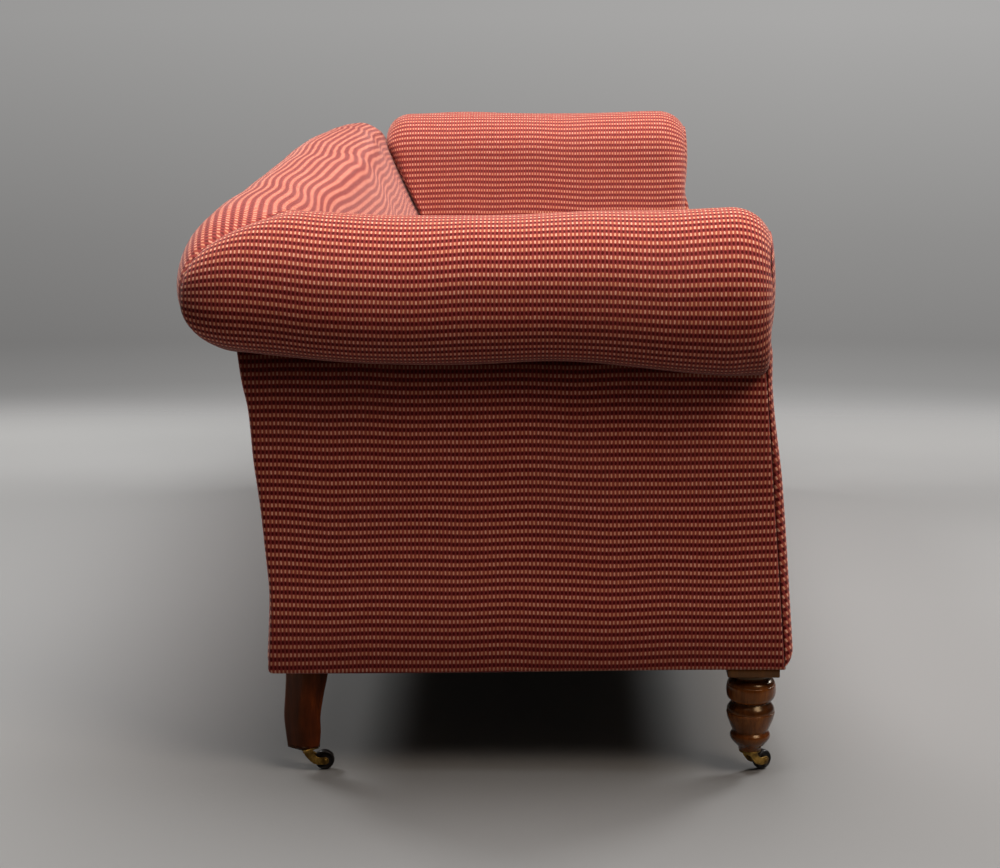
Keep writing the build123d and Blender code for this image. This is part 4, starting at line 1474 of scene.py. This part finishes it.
# ---- Seat ----------------------------------------------------------------------------------------
@dataclass
class Bar:
    """A stuffed length along X between the arms, with a closed (y, z) section."""

    name: str
    node: str
    loop: Path
    fill: float
    crown: float = 0.0
    lump: float = 0.003
    left_gap: float = 0.0008
    right_gap: float = 0.005
    end_rounding: float = 0.012
    held_below: float = 0.375
    around: int = 120
    rings: int = 150

    def place(self, around: float, share: float) -> Vector:
        """The point at this distance round the section and share of the length."""
        y, z = self.loop.at(around)
        reach = LINES.inside_arm(max(z, LINES.seat_base))
        x = blend(-reach + self.left_gap, reach - self.right_gap, share)
        high = smooth(LINES.seat_base, LINES.seat_edge, z)
        z += self.crown * high * ((4 * share * (1 - share)) ** 0.45 - 1)
        z -= high * drawn_in(reach - abs(x), self.end_rounding)
        out = self.loop.outward(around)
        inside = smooth(0, 0.04, min(share, 1 - share))
        soft = lumps(Vector((x, y, z)), self.lump, 0.14, 11.0) * high * inside
        return Vector((x, y + out[0] * soft, z + out[1] * soft))

    def held(self, around: float, share: float) -> float:
        """How firmly the cover is held: low down, behind, and at its ends."""
        out = self.loop.outward(around)
        low = smooth(self.held_below + 0.03, self.held_below, self.loop.at(around)[1])
        behind = max(smooth(0.5, 0.8, out[0]), smooth(-0.4, -0.7, out[1]))
        return max(low, behind, smooth(0.04, 0.006, min(share, 1 - share)))

    def build(self) -> bpy.types.Object:
        steps = [self.loop.length * share for share in even(self.around)]
        piece = cloth_sheet(
            self.name, COVER, steps, crowded(self.rings), self.place,
            lambda around, share, point: (point.x, around), wrap=True, held=self.held,
        )
        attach(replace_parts(piece, self.node), "sofa")
        return piece


@dataclass
class Seat:
    """The sprung seat and the front border with its rolled edge."""

    roll: float = 0.026
    border_depth: float = 0.042
    edge_rounding: float = 0.018
    fullness: float = 0.015  # how far the seat presses over against the border's roll

    def seat_loop(self) -> Path:
        """Section of the stuffed seat: crowned, with softened front and rear edges."""
        base, edge, crown = LINES.seat_base + 0.0005, LINES.seat_edge, LINES.seat_crown
        front = LINES.front_y(LINES.border_top) + self.border_depth + self.roll + 0.001
        rear = LINES.inside_back(edge) - 0.001
        full = front - self.fullness
        path = Path((front, base)).line((front - 0.3 * self.fullness, base + 0.015))
        path.line((full, edge - self.edge_rounding - 0.012), (full, edge - self.edge_rounding))
        path.arc((full + self.edge_rounding, edge - self.edge_rounding), self.edge_rounding, 180, 100)
        start = path.points[-1]
        for share in even(24)[1:]:
            y = blend(start[0], rear, share)
            path.line((y, blend(start[1], edge, share) + (crown - edge) * (4 * share * (1 - share)) ** 0.8))
        return path.line((LINES.inside_back(base) - 0.001, base), (front, base))

    def border_loop(self) -> Path:
        """Section of the front border, with its roll standing over the front."""
        top = LINES.border_top
        face = LINES.front_y(top) + 0.002
        base = LINES.hem
        centre = (face + self.roll - 0.006, top)
        path = Path((LINES.front_y(base) + 0.012, base)).line((LINES.front_y(base) + 0.006, base - 0.001))
        path.line((LINES.front_y(base) - 0.001, base + 0.006))
        path.line((LINES.front_y(0.25) - 0.004, 0.25), (face - 0.002, top - self.roll - 0.004))
        path.arc(centre, self.roll + 0.002, 205, 0)
        behind = LINES.front_y(LINES.rail_top)
        path.line((face + self.border_depth, top - 0.03), (behind + 0.041, LINES.rail_top + 0.001))
        return path.line((behind + 0.0115, LINES.rail_top + 0.001), (LINES.front_y(base) + 0.012, base))

    def build(self) -> list[bpy.types.Object]:
        """Builds both pieces."""
        return [
            Bar("seat_cover", "seat_pad", self.seat_loop(), 0.7, crown=0.014).build(),
            Bar(
                "front_border_cover", "front_border", self.border_loop(), 0.6, lump=0.0015, held_below=0.155
            ).build(),
        ]


@dataclass
class BottomCloth:
    """Dust cloth under the frame, cut out at the legs and sagging a little between its tacks."""

    sag: float = 0.006
    side: float = 0.822
    front: float = -0.351
    rear: float = 0.248
    clear: tuple[float, float, float] = (0.784, -0.305, 0.198)  # X, front and rear edges of the leg notches

    def build(self) -> None:
        """Builds the thin cloth."""
        mesh = bmesh.new()
        layer = mesh.loops.layers.uv.new(WEAVE)
        bmesh.ops.create_grid(mesh, x_segments=96, y_segments=36, size=0.5)
        wide, deep = 2 * self.side, self.rear - self.front
        for vert in mesh.verts:
            a, b = vert.co.x, vert.co.y
            drop = self.sag * (1 - (2 * a) ** 4) * (1 - (2 * b) ** 4)
            vert.co = Vector((a * wide, (b + 0.5) * deep + self.front, LINES.underside - 0.0006 - drop))
        side, front, rear = self.clear
        middles = [(face, face.calc_center_median()) for face in mesh.faces]
        notches = [
            face for face, spot in middles
            if abs(spot.x) > side and (spot.y < front or spot.y > rear)
        ]
        bmesh.ops.delete(mesh, geom=notches, context="FACES")
        for face in mesh.faces:
            for loop in face.loops:
                loop[layer].uv = loop.vert.co.xy
        bmesh.ops.solidify(mesh, geom=mesh.faces[:], thickness=0.0008)
        bmesh.ops.recalc_face_normals(mesh, faces=mesh.faces[:])
        piece = keep("bottom_dust_cloth", mesh, DUST_CLOTH)
        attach(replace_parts(piece, "bottom_cloth"), "sofa")


# ---- Legs and castors ----------------------------------------------------------------------------
class Corner(Enum):
    """The four corners: signs of X and Y, and how far the castor is turned in degrees."""

    FRONT_LEFT = (-1, -1, 38.0)
    FRONT_RIGHT = (1, -1, -24.0)
    REAR_LEFT = (-1, 1, 8.0)
    REAR_RIGHT = (1, 1, 20.0)

    @property
    def word(self) -> str:
        """The corner's name in piece and node names."""
        return self.name.lower()

    @property
    def place(self) -> Vector:
        """The middle of the leg on the floor."""
        return Vector((0.818 * self.value[0], -0.341 if self.value[1] < 0 else 0.237, 0))


def curve_through(points: Sequence[Sequence[float]], steps: int) -> list[list[float]]:
    """A smooth curve through points of any number of measures.

    Args:
        points: The points.
        steps: Pieces between two of them.

    Returns:
        The points of the curve.
    """
    run = []
    for index in range(len(points) - 1):
        a, b = points[max(index - 1, 0)], points[index]
        c, d = points[index + 1], points[min(index + 2, len(points) - 1)]
        for step in range(steps):
            t = step / steps
            run.append([
                0.5 * (
                    2 * q + (r - p) * t + (2 * p - 5 * q + 4 * r - s) * t * t
                    + (3 * q - p - 3 * r + s) * t**3
                )
                for p, q, r, s in zip(a, b, c, d)
            ])
    return run + [list(points[-1])]


def turned(
    mesh: bmesh.types.BMesh, profile: Sequence[Point2], axis: Vector, steps: int, centre: Vector
) -> None:
    """Turns a profile of (radius, height) round an axis through a centre, as on a lathe."""
    side = axis.orthogonal().normalized()
    verts = [mesh.verts.new(centre + side * radius + axis * height) for radius, height in profile]
    edges = [mesh.edges.new(pair) for pair in zip(verts, verts[1:])]
    bmesh.ops.spin(
        mesh, geom=verts + edges, cent=centre, axis=axis, angle=2 * pi, steps=steps, use_merge=True
    )
    bmesh.ops.remove_doubles(mesh, verts=mesh.verts[:], dist=1e-6)
    bmesh.ops.recalc_face_normals(mesh, faces=mesh.faces[:])


def soften(mesh: bmesh.types.BMesh, width: float, segments: int = 2, sharper: float = 0.5) -> None:
    """Rounds the edges whose faces meet at more than this angle."""
    edges = [edge for edge in mesh.edges if len(edge.link_faces) == 2 and edge.calc_face_angle() > sharper]
    bmesh.ops.bevel(
        mesh, geom=edges, offset=width, segments=segments, profile=0.5, affect="EDGES", material=-1
    )


def set_in_place(mesh: bmesh.types.BMesh, corner: Corner, turn: float = 0.0) -> None:
    """Turns a local mesh about the upright through the leg and moves it to its corner."""
    bmesh.ops.rotate(mesh, verts=mesh.verts[:], cent=Vector(), matrix=Matrix.Rotation(turn, 3, "Z"))
    bmesh.ops.translate(mesh, verts=mesh.verts[:], vec=corner.place)


@dataclass
class TurnedLeg:
    """Front leg: a square block, then a bun, a vase and a ring, cut with fine quirks."""

    corner: Corner
    block: float = 0.067
    block_bottom: float = 0.1385
    block_top: float = 0.1522
    foot: float = 0.0312
    upper: tuple[Point2, ...] = (
        (0.0270, 0.1386), (0.0240, 0.1362), (0.0231, 0.1330), (0.0238, 0.1302), (0.0262, 0.1286),
        (0.0290, 0.1264), (0.0306, 0.1236), (0.0310, 0.1222),
    )
    bun: tuple[Point2, ...] = (
        (0.0303, 0.1216), (0.0314, 0.1206), (0.0320, 0.1170), (0.0321, 0.1120), (0.0315, 0.1066),
        (0.0297, 0.1024), (0.0272, 0.0998), (0.0252, 0.0982),
    )
    vase_top: tuple[Point2, ...] = (
        (0.0250, 0.0972), (0.0264, 0.0952), (0.0290, 0.0918), (0.0306, 0.0884), (0.0311, 0.0850),
    )
    vase: tuple[Point2, ...] = (
        (0.0304, 0.0843), (0.0313, 0.0833), (0.0311, 0.0800), (0.0298, 0.0750), (0.0276, 0.0690),
        (0.0253, 0.0632), (0.0240, 0.0604), (0.0230, 0.0586),
    )
    ring: tuple[Point2, ...] = (
        (0.0229, 0.0574), (0.0240, 0.0560), (0.0256, 0.0538), (0.0261, 0.0510), (0.0254, 0.0478),
        (0.0232, 0.0442), (0.0202, 0.0408), (0.0174, 0.0380), (0.0155, 0.0362), (0.0148, 0.0350),
    )

    def build(self) -> None:
        """Turns the leg, adds its block and puts it in place."""
        profile: list[Sequence[float]] = [(0.0, 0.1386)]
        for part in (self.upper, self.bun, self.vase_top, self.vase, self.ring):
            profile += curve_through(part, 5)
        profile += [(0.0148, self.foot + 0.0012), (0.0138, self.foot), (0.0, self.foot)]
        mesh = bmesh.new()
        turned(mesh, profile, Vector((0, 0, 1)), 72, Vector())
        top = bmesh.new()
        bmesh.ops.create_cube(top, size=1.0)
        tall = self.block_top - self.block_bottom
        for vert in top.verts:
            vert.co = Vector((
                vert.co.x * self.block, vert.co.y * self.block, self.block_bottom + (vert.co.z + 0.5) * tall
            ))
        soften(top, 0.0015)
        spare = bpy.data.meshes.new("block")
        top.to_mesh(spare)
        top.free()
        mesh.from_mesh(spare)
        bpy.data.meshes.remove(spare)
        set_in_place(mesh, self.corner)
        leg = keep(f"turned_leg_{self.corner.word}", mesh, WOOD)
        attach(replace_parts(leg, f"leg_{self.corner.word}"), "sofa")


@dataclass
class SweptLeg:
    """Rear leg: set cornerwise and swept in a slight S, with worn edges."""

    corner: Corner
    foot: float = 0.0293
    top: float = 0.1522
    edge: float = 0.0065
    # share of the height, then the rear corner, the front corner and half the width
    stations: tuple[tuple[float, float, float, float], ...] = (
        (0.0, 0.0288, -0.0192, 0.0165), (0.10, 0.0302, -0.0201, 0.0180), (0.19, 0.0314, -0.0210, 0.0194),
        (0.36, 0.0330, -0.0207, 0.0214), (0.58, 0.0312, -0.0250, 0.0236), (0.80, 0.0296, -0.0306, 0.0256),
        (1.0, 0.0292, -0.0336, 0.0270),
    )

    def build(self) -> None:
        """Draws the leg up from its foot, ring by ring."""
        mesh = bmesh.new()
        first = bmesh.ops.create_circle(mesh, segments=4, radius=1.0, cap_ends=True)["verts"]
        spokes = {vert: atan2(vert.co.y, vert.co.x) for vert in first}
        for index, (share, rear, front, half) in enumerate(curve_through(self.stations, 5)):
            if index:
                spokes = self.draw_up(mesh, spokes)
            for vert, angle in spokes.items():
                height = blend(self.foot, self.top, share)
                vert.co = Vector((cos(angle) * half, blend(front, rear, 0.5 + 0.5 * sin(angle)), height))
        bmesh.ops.holes_fill(mesh, edges=[edge for edge in mesh.edges if edge.is_boundary], sides=0)
        bmesh.ops.recalc_face_normals(mesh, faces=mesh.faces[:])
        soften(mesh, self.edge, 4, 0.9)
        set_in_place(mesh, self.corner)
        leg = keep(f"swept_leg_{self.corner.word}", mesh, REAR_WOOD)
        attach(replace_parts(leg, f"leg_{self.corner.word}"), "sofa")

    @staticmethod
    def draw_up(mesh: bmesh.types.BMesh, spokes: dict) -> dict:
        """Draws a new ring from the last one, and gives its vertices the angles of the old."""
        edges = [edge for edge in mesh.edges if all(vert in spokes for vert in edge.verts)]
        drawn = bmesh.ops.extrude_edge_only(mesh, edges=edges)["geom"]
        fresh = {}
        for vert in drawn:
            if isinstance(vert, bmesh.types.BMVert):
                ends = [edge.other_vert(vert) for edge in vert.link_edges]
                old = next(end for end in ends if end in spokes)
                fresh[vert] = spokes[old]
        return fresh


@dataclass
class Castor:
    """Brass castor with a plate, a hooked horn and a dark wheel."""

    corner: Corner
    wheel_radius: float = 0.013
    wheel_width: float = 0.0110
    trail: float = 0.022
    plate_top: float = 0.0310
    plate_thick: float = 0.0024
    plate_radius: float = 0.0140  # of the round plates in front
    square_plate: float = 0.0148  # half a diagonal of the rear ones
    screw_circle: float = 0.0104
    screw_radius: float = 0.0021
    screw_crown: float = 0.12  # a head's height over its radius
    cheek_thick: float = 0.0026
    cheek_inside: float = 0.0060
    eye: float = 0.0052
    crown_bottom: float = 0.0211
    lower_edge: tuple[Point2, ...] = (
        (0.0062, 0.0280), (0.0040, 0.0222), (-0.0006, 0.0160), (-0.0060, 0.0110), (-0.0135, 0.0080),
    )
    upper_edge: tuple[Point2, ...] = (
        (-0.0160, 0.0178), (-0.0120, 0.0190), (-0.0085, 0.0222), (-0.0062, 0.0280),
    )

    @property
    def turn(self) -> float:
        """How far the horn is turned."""
        return radians(self.corner.value[2])

    def plate(self) -> None:
        """The plate under the leg and its three screws."""
        mesh = bmesh.new()
        middle = self.plate_top - self.plate_thick / 2
        segments, radius = (64, self.plate_radius) if self.corner.value[1] < 0 else (4, self.square_plate)
        bmesh.ops.create_cone(
            mesh, cap_ends=True, segments=segments, radius1=radius, radius2=radius, depth=self.plate_thick,
            matrix=Matrix.Translation((0, 0, middle)),
        )
        soften(mesh, 0.0006)
        for index in range(3):
            angle = 2 * pi * (index + 0.25) / 3
            spot = Vector((
                self.screw_circle * cos(angle), self.screw_circle * sin(angle), middle - self.plate_thick / 2
            ))
            bmesh.ops.create_uvsphere(
                mesh, u_segments=20, v_segments=8, radius=self.screw_radius,
                matrix=Matrix.Translation(spot) @ Matrix.Diagonal((1, 1, self.screw_crown, 1)),
            )
        set_in_place(mesh, self.corner)
        piece = keep(f"castor_plate_cover_{self.corner.word}", mesh, BRASS)
        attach(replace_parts(piece, f"castor_plate_{self.corner.word}"), "sofa")

    def horn(self) -> None:
        """The horn: a crown with two hooked cheeks that hold the axle."""
        mesh = bmesh.new()
        outline = curve_through(self.lower_edge, 4)
        centre = (-self.trail, self.wheel_radius)
        for step in range(19):
            angle = radians(blend(-80, -290, step / 18))
            outline.append([centre[0] + self.eye * cos(angle), centre[1] + self.eye * sin(angle)])
        outline += curve_through(self.upper_edge, 4)
        for side in (-1, 1):
            ring = [mesh.verts.new((side * self.cheek_inside, y, z)) for y, z in outline]
            face = mesh.faces.new(ring)
            drawn = bmesh.ops.extrude_face_region(mesh, geom=[face])["geom"]
            moved = [item for item in drawn if isinstance(item, bmesh.types.BMVert)]
            bmesh.ops.translate(mesh, verts=moved, vec=(side * self.cheek_thick, 0, 0))
        bmesh.ops.recalc_face_normals(mesh, faces=mesh.faces[:])
        soften(mesh, 0.0007, 3, 1.0)
        self.crown(mesh)
        for side in (-1, 1):
            self.rivet(mesh, side)
        set_in_place(mesh, self.corner, self.turn)
        piece = keep(f"castor_horn_cover_{self.corner.word}", mesh, BRASS)
        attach(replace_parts(piece, f"castor_horn_{self.corner.word}"), f"castor_fork_{self.corner.word}")

    def crown(self, mesh: bmesh.types.BMesh) -> None:
        """The bridge between the cheeks, under the plate."""
        wide = 2 * (self.cheek_inside + self.cheek_thick)
        top = self.plate_top - self.plate_thick - 0.0008
        made = bmesh.ops.create_cube(mesh, size=1.0)["verts"]
        for vert in made:
            height = blend(self.crown_bottom + 0.003, top, vert.co.z + 0.5)
            vert.co = Vector((vert.co.x * (wide - 0.0008), vert.co.y * 0.0126, height))
        edges = list({edge for vert in made for edge in vert.link_edges})
        bmesh.ops.bevel(
            mesh, geom=edges, offset=0.0012, segments=3, profile=0.5, affect="EDGES", material=-1
        )

    def rivet(self, mesh: bmesh.types.BMesh, side: int) -> None:
        """The axle's riveted end on a cheek."""
        spot = Vector((side * (self.cheek_inside + self.cheek_thick), -self.trail, self.wheel_radius))
        bmesh.ops.create_uvsphere(
            mesh, u_segments=24, v_segments=10, radius=0.0030,
            matrix=Matrix.Translation(spot) @ Matrix.Diagonal((0.42, 1, 1, 1)),
        )

    def wheel(self) -> None:
        """The wheel with its rounded tread and dished sides."""
        half, radius = self.wheel_width / 2, self.wheel_radius
        profile = [
            (0.0024, -half * 0.70), (0.0048, -half * 0.70), (0.0056, -half * 0.62), (0.0092, -half * 0.62),
            (0.0102, -half * 0.96), (0.0113, -half), (0.0124, -half * 0.78), (0.0129, -half * 0.42),
            (radius, 0.0),
        ]
        rim = curve_through(profile[4:], 4)
        near = profile[:4] + rim
        far = [(r, -h) for r, h in reversed(near[:-1])]
        mesh = bmesh.new()
        turned(mesh, [*near, *far, near[0]], Vector((1, 0, 0)), 64, Vector((0, -self.trail, radius)))
        set_in_place(mesh, self.corner, self.turn)
        piece = keep(f"castor_wheel_cover_{self.corner.word}", mesh, RUBBER)
        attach(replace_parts(piece, f"castor_wheel_{self.corner.word}"), f"castor_wheel_{self.corner.word}")

    def build(self) -> None:
        """Builds the whole castor."""
        self.plate()
        self.horn()
        self.wheel()


# ---- Studio --------------------------------------------------------------------------------------
@dataclass
class Studio:
    """Floor, backdrop, lamps and camera."""

    camera_place: Vector = field(default_factory=lambda: Vector((-3.698, -0.0585, 1.058)))
    turn: float = radians(0.865)
    tilt: float = radians(11.917)
    lens: float = 83.41
    sensor: float = 36.0
    fade: float = 1.85
    ambient: float = 0.045
    tint: Colour = (1.0, 0.88, 0.80)  # of the even light, from the cloth's own glow
    # slope of the view and the grey of the wall seen along it, painted with the backdrop's light: a bright
    # band at its bend and darker grey above
    wall: tuple[Point2, ...] = (
        (-0.30, 165), (-0.212, 180), (-0.197, 168), (-0.183, 142), (-0.165, 129), (-0.12, 140),
        (-0.03, 166), (0.3, 176),
    )
    aside: Point2 = (0.84, 1.05)  # painted light: share of those greys seen far to the left and to the right, brighter on the right

    def camera(self) -> None:
        """Sets up the camera looking along the sofa from its left end."""
        data = bpy.data.cameras.new("Camera")
        data.lens, data.sensor_width, data.sensor_fit = self.lens, self.sensor, "HORIZONTAL"
        data.clip_end = 60
        ahead = Vector((cos(self.tilt) * cos(self.turn), cos(self.tilt) * sin(self.turn), -sin(self.tilt)))
        right = Vector((sin(self.turn), -cos(self.turn), 0))
        up = right.cross(ahead)
        camera = bpy.data.objects.new("Camera", data)
        aim = Matrix((right, up, -ahead)).transposed().to_4x4()
        camera.matrix_world = Matrix.Translation(self.camera_place) @ aim
        bpy.context.scene.collection.objects.link(camera)
        bpy.context.scene.camera = camera

    def lamp(
        self, name: str, place: Sequence[float], aim: Sequence[float], size: float, power: float,
        colour: Colour = (1.0, 1.0, 1.0),
    ) -> None:
        """Adds one soft square lamp."""
        data = bpy.data.lights.new(name, "AREA")
        data.size, data.energy, data.color = size, power, colour
        lamp = bpy.data.objects.new(name, data)
        lamp.location = place
        lamp.rotation_euler = (Vector(aim) - Vector(place)).to_track_quat("-Z", "Y").to_euler()
        bpy.context.scene.collection.objects.link(lamp)

    def paper(self) -> None:
        """Lays the floor paper."""
        mesh = bmesh.new()
        bmesh.ops.create_grid(mesh, x_segments=8, y_segments=8, size=self.fade)
        for vert in mesh.verts:
            vert.co.z = -0.0004
        keep("studio_floor", mesh, FLOOR)

    def world(self) -> None:
        """Even light all round, with the wall's painted light and shade seen by the camera."""
        world = bpy.data.worlds.new("Studio")
        bpy.context.scene.world = world
        world.use_nodes = True
        nodes, links = world.node_tree.nodes, world.node_tree.links
        light = nodes["Background"]
        light.inputs["Color"].default_value = (*self.tint, 1)
        light.inputs["Strength"].default_value = self.ambient
        wall = nodes.new("ShaderNodeBackground")
        ramp = nodes.new("ShaderNodeValToRGB")
        aim, apart = nodes.new("ShaderNodeTexCoord"), nodes.new("ShaderNodeSeparateXYZ")
        reach, sideways = nodes.new("ShaderNodeMapRange"), nodes.new("ShaderNodeMapRange")
        reach.inputs[1].default_value, reach.inputs[2].default_value = self.wall[0][0], self.wall[-1][0]
        for index, number in zip((1, 2, 3, 4), (0.22, -0.12, *self.aside)):
            sideways.inputs[index].default_value = number
        while len(ramp.color_ramp.elements) < len(self.wall):
            ramp.color_ramp.elements.new(1.0)
        for element, (slope, grey) in zip(ramp.color_ramp.elements, self.wall):
            element.position = (slope - self.wall[0][0]) / (self.wall[-1][0] - self.wall[0][0])
            element.color = (*srgb(grey, grey - 1, grey - 2), 1)
        rays = nodes.new("ShaderNodeLightPath")
        mixer = nodes.new("ShaderNodeMixShader")
        for start, end in (
            (aim.outputs["Generated"], apart.inputs[0]), (apart.outputs["Z"], reach.inputs[0]),
            (reach.outputs[0], ramp.inputs[0]), (ramp.outputs[0], wall.inputs["Color"]),
            (apart.outputs["Y"], sideways.inputs[0]), (sideways.outputs[0], wall.inputs["Strength"]),
            (rays.outputs["Is Camera Ray"], mixer.inputs[0]), (light.outputs[0], mixer.inputs[1]),
            (wall.outputs[0], mixer.inputs[2]), (mixer.outputs[0], nodes["World Output"].inputs[0]),
        ):
            links.new(start, end)

    def build(self) -> None:
        """Sets the whole stage."""
        bpy.context.scene.view_settings.view_transform = "Standard"
        self.camera()
        self.paper()
        self.world()
        self.lamp("Overhead", (-0.5, -0.1, 3.0), (-0.3, 0.0, 0.5), 2.2, 118)
        self.lamp("Rear_key", (1.4, 2.3, 2.5), (0.0, 0.0, 0.3), 1.0, 58)
        self.lamp("Front_key", (1.3, -2.5, 2.5), (0.0, 0.0, 0.3), 1.0, 74)
        self.lamp("End_fill", (-2.4, -1.9, 2.9), (-0.9, 0.0, 0.5), 1.3, 43, (1.0, 0.87, 0.76))


def dress_frame() -> None:
    """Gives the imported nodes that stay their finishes."""
    for node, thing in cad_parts.items():
        if any(word in node for word in ("rail", "post", "stile", "blocks")) and "cover" not in node:
            BEECH.dress(node)
        if node.startswith("leg_"):
            WOOD.dress(node)
        if node.startswith("castor_"):
            (RUBBER if "wheel" in node else BRASS).dress(node)
        if node.startswith("hinge"):
            STEEL.dress(node)
    SPRING.dress("seat_springs")
    JUTE.dress("seat_webbing")
    HESSIAN.dress("spring_hessian")


def main() -> None:
    """Builds the sofa piece by piece, then the studio."""
    logging.basicConfig(level=logging.INFO, format="%(message)s")
    dress_frame()
    covers = [ArmCover(hand).build() for hand in Hand] + [BackCover().build()]
    seats = Seat().build()
    Stuffing().settle(covers)
    Stuffing(reach=0.0045).settle(seats)
    OutsideCovers().build()
    EndFacings().build()
    BottomCloth().build()
    log.info("covers built")
    for corner in Corner:
        (TurnedLeg if corner.value[1] < 0 else SweptLeg)(corner).build()
        Castor(corner).build()
        log.info("%s leg and castor built", corner.word)
    Studio().build()


if __name__ == "__main__":
    main()
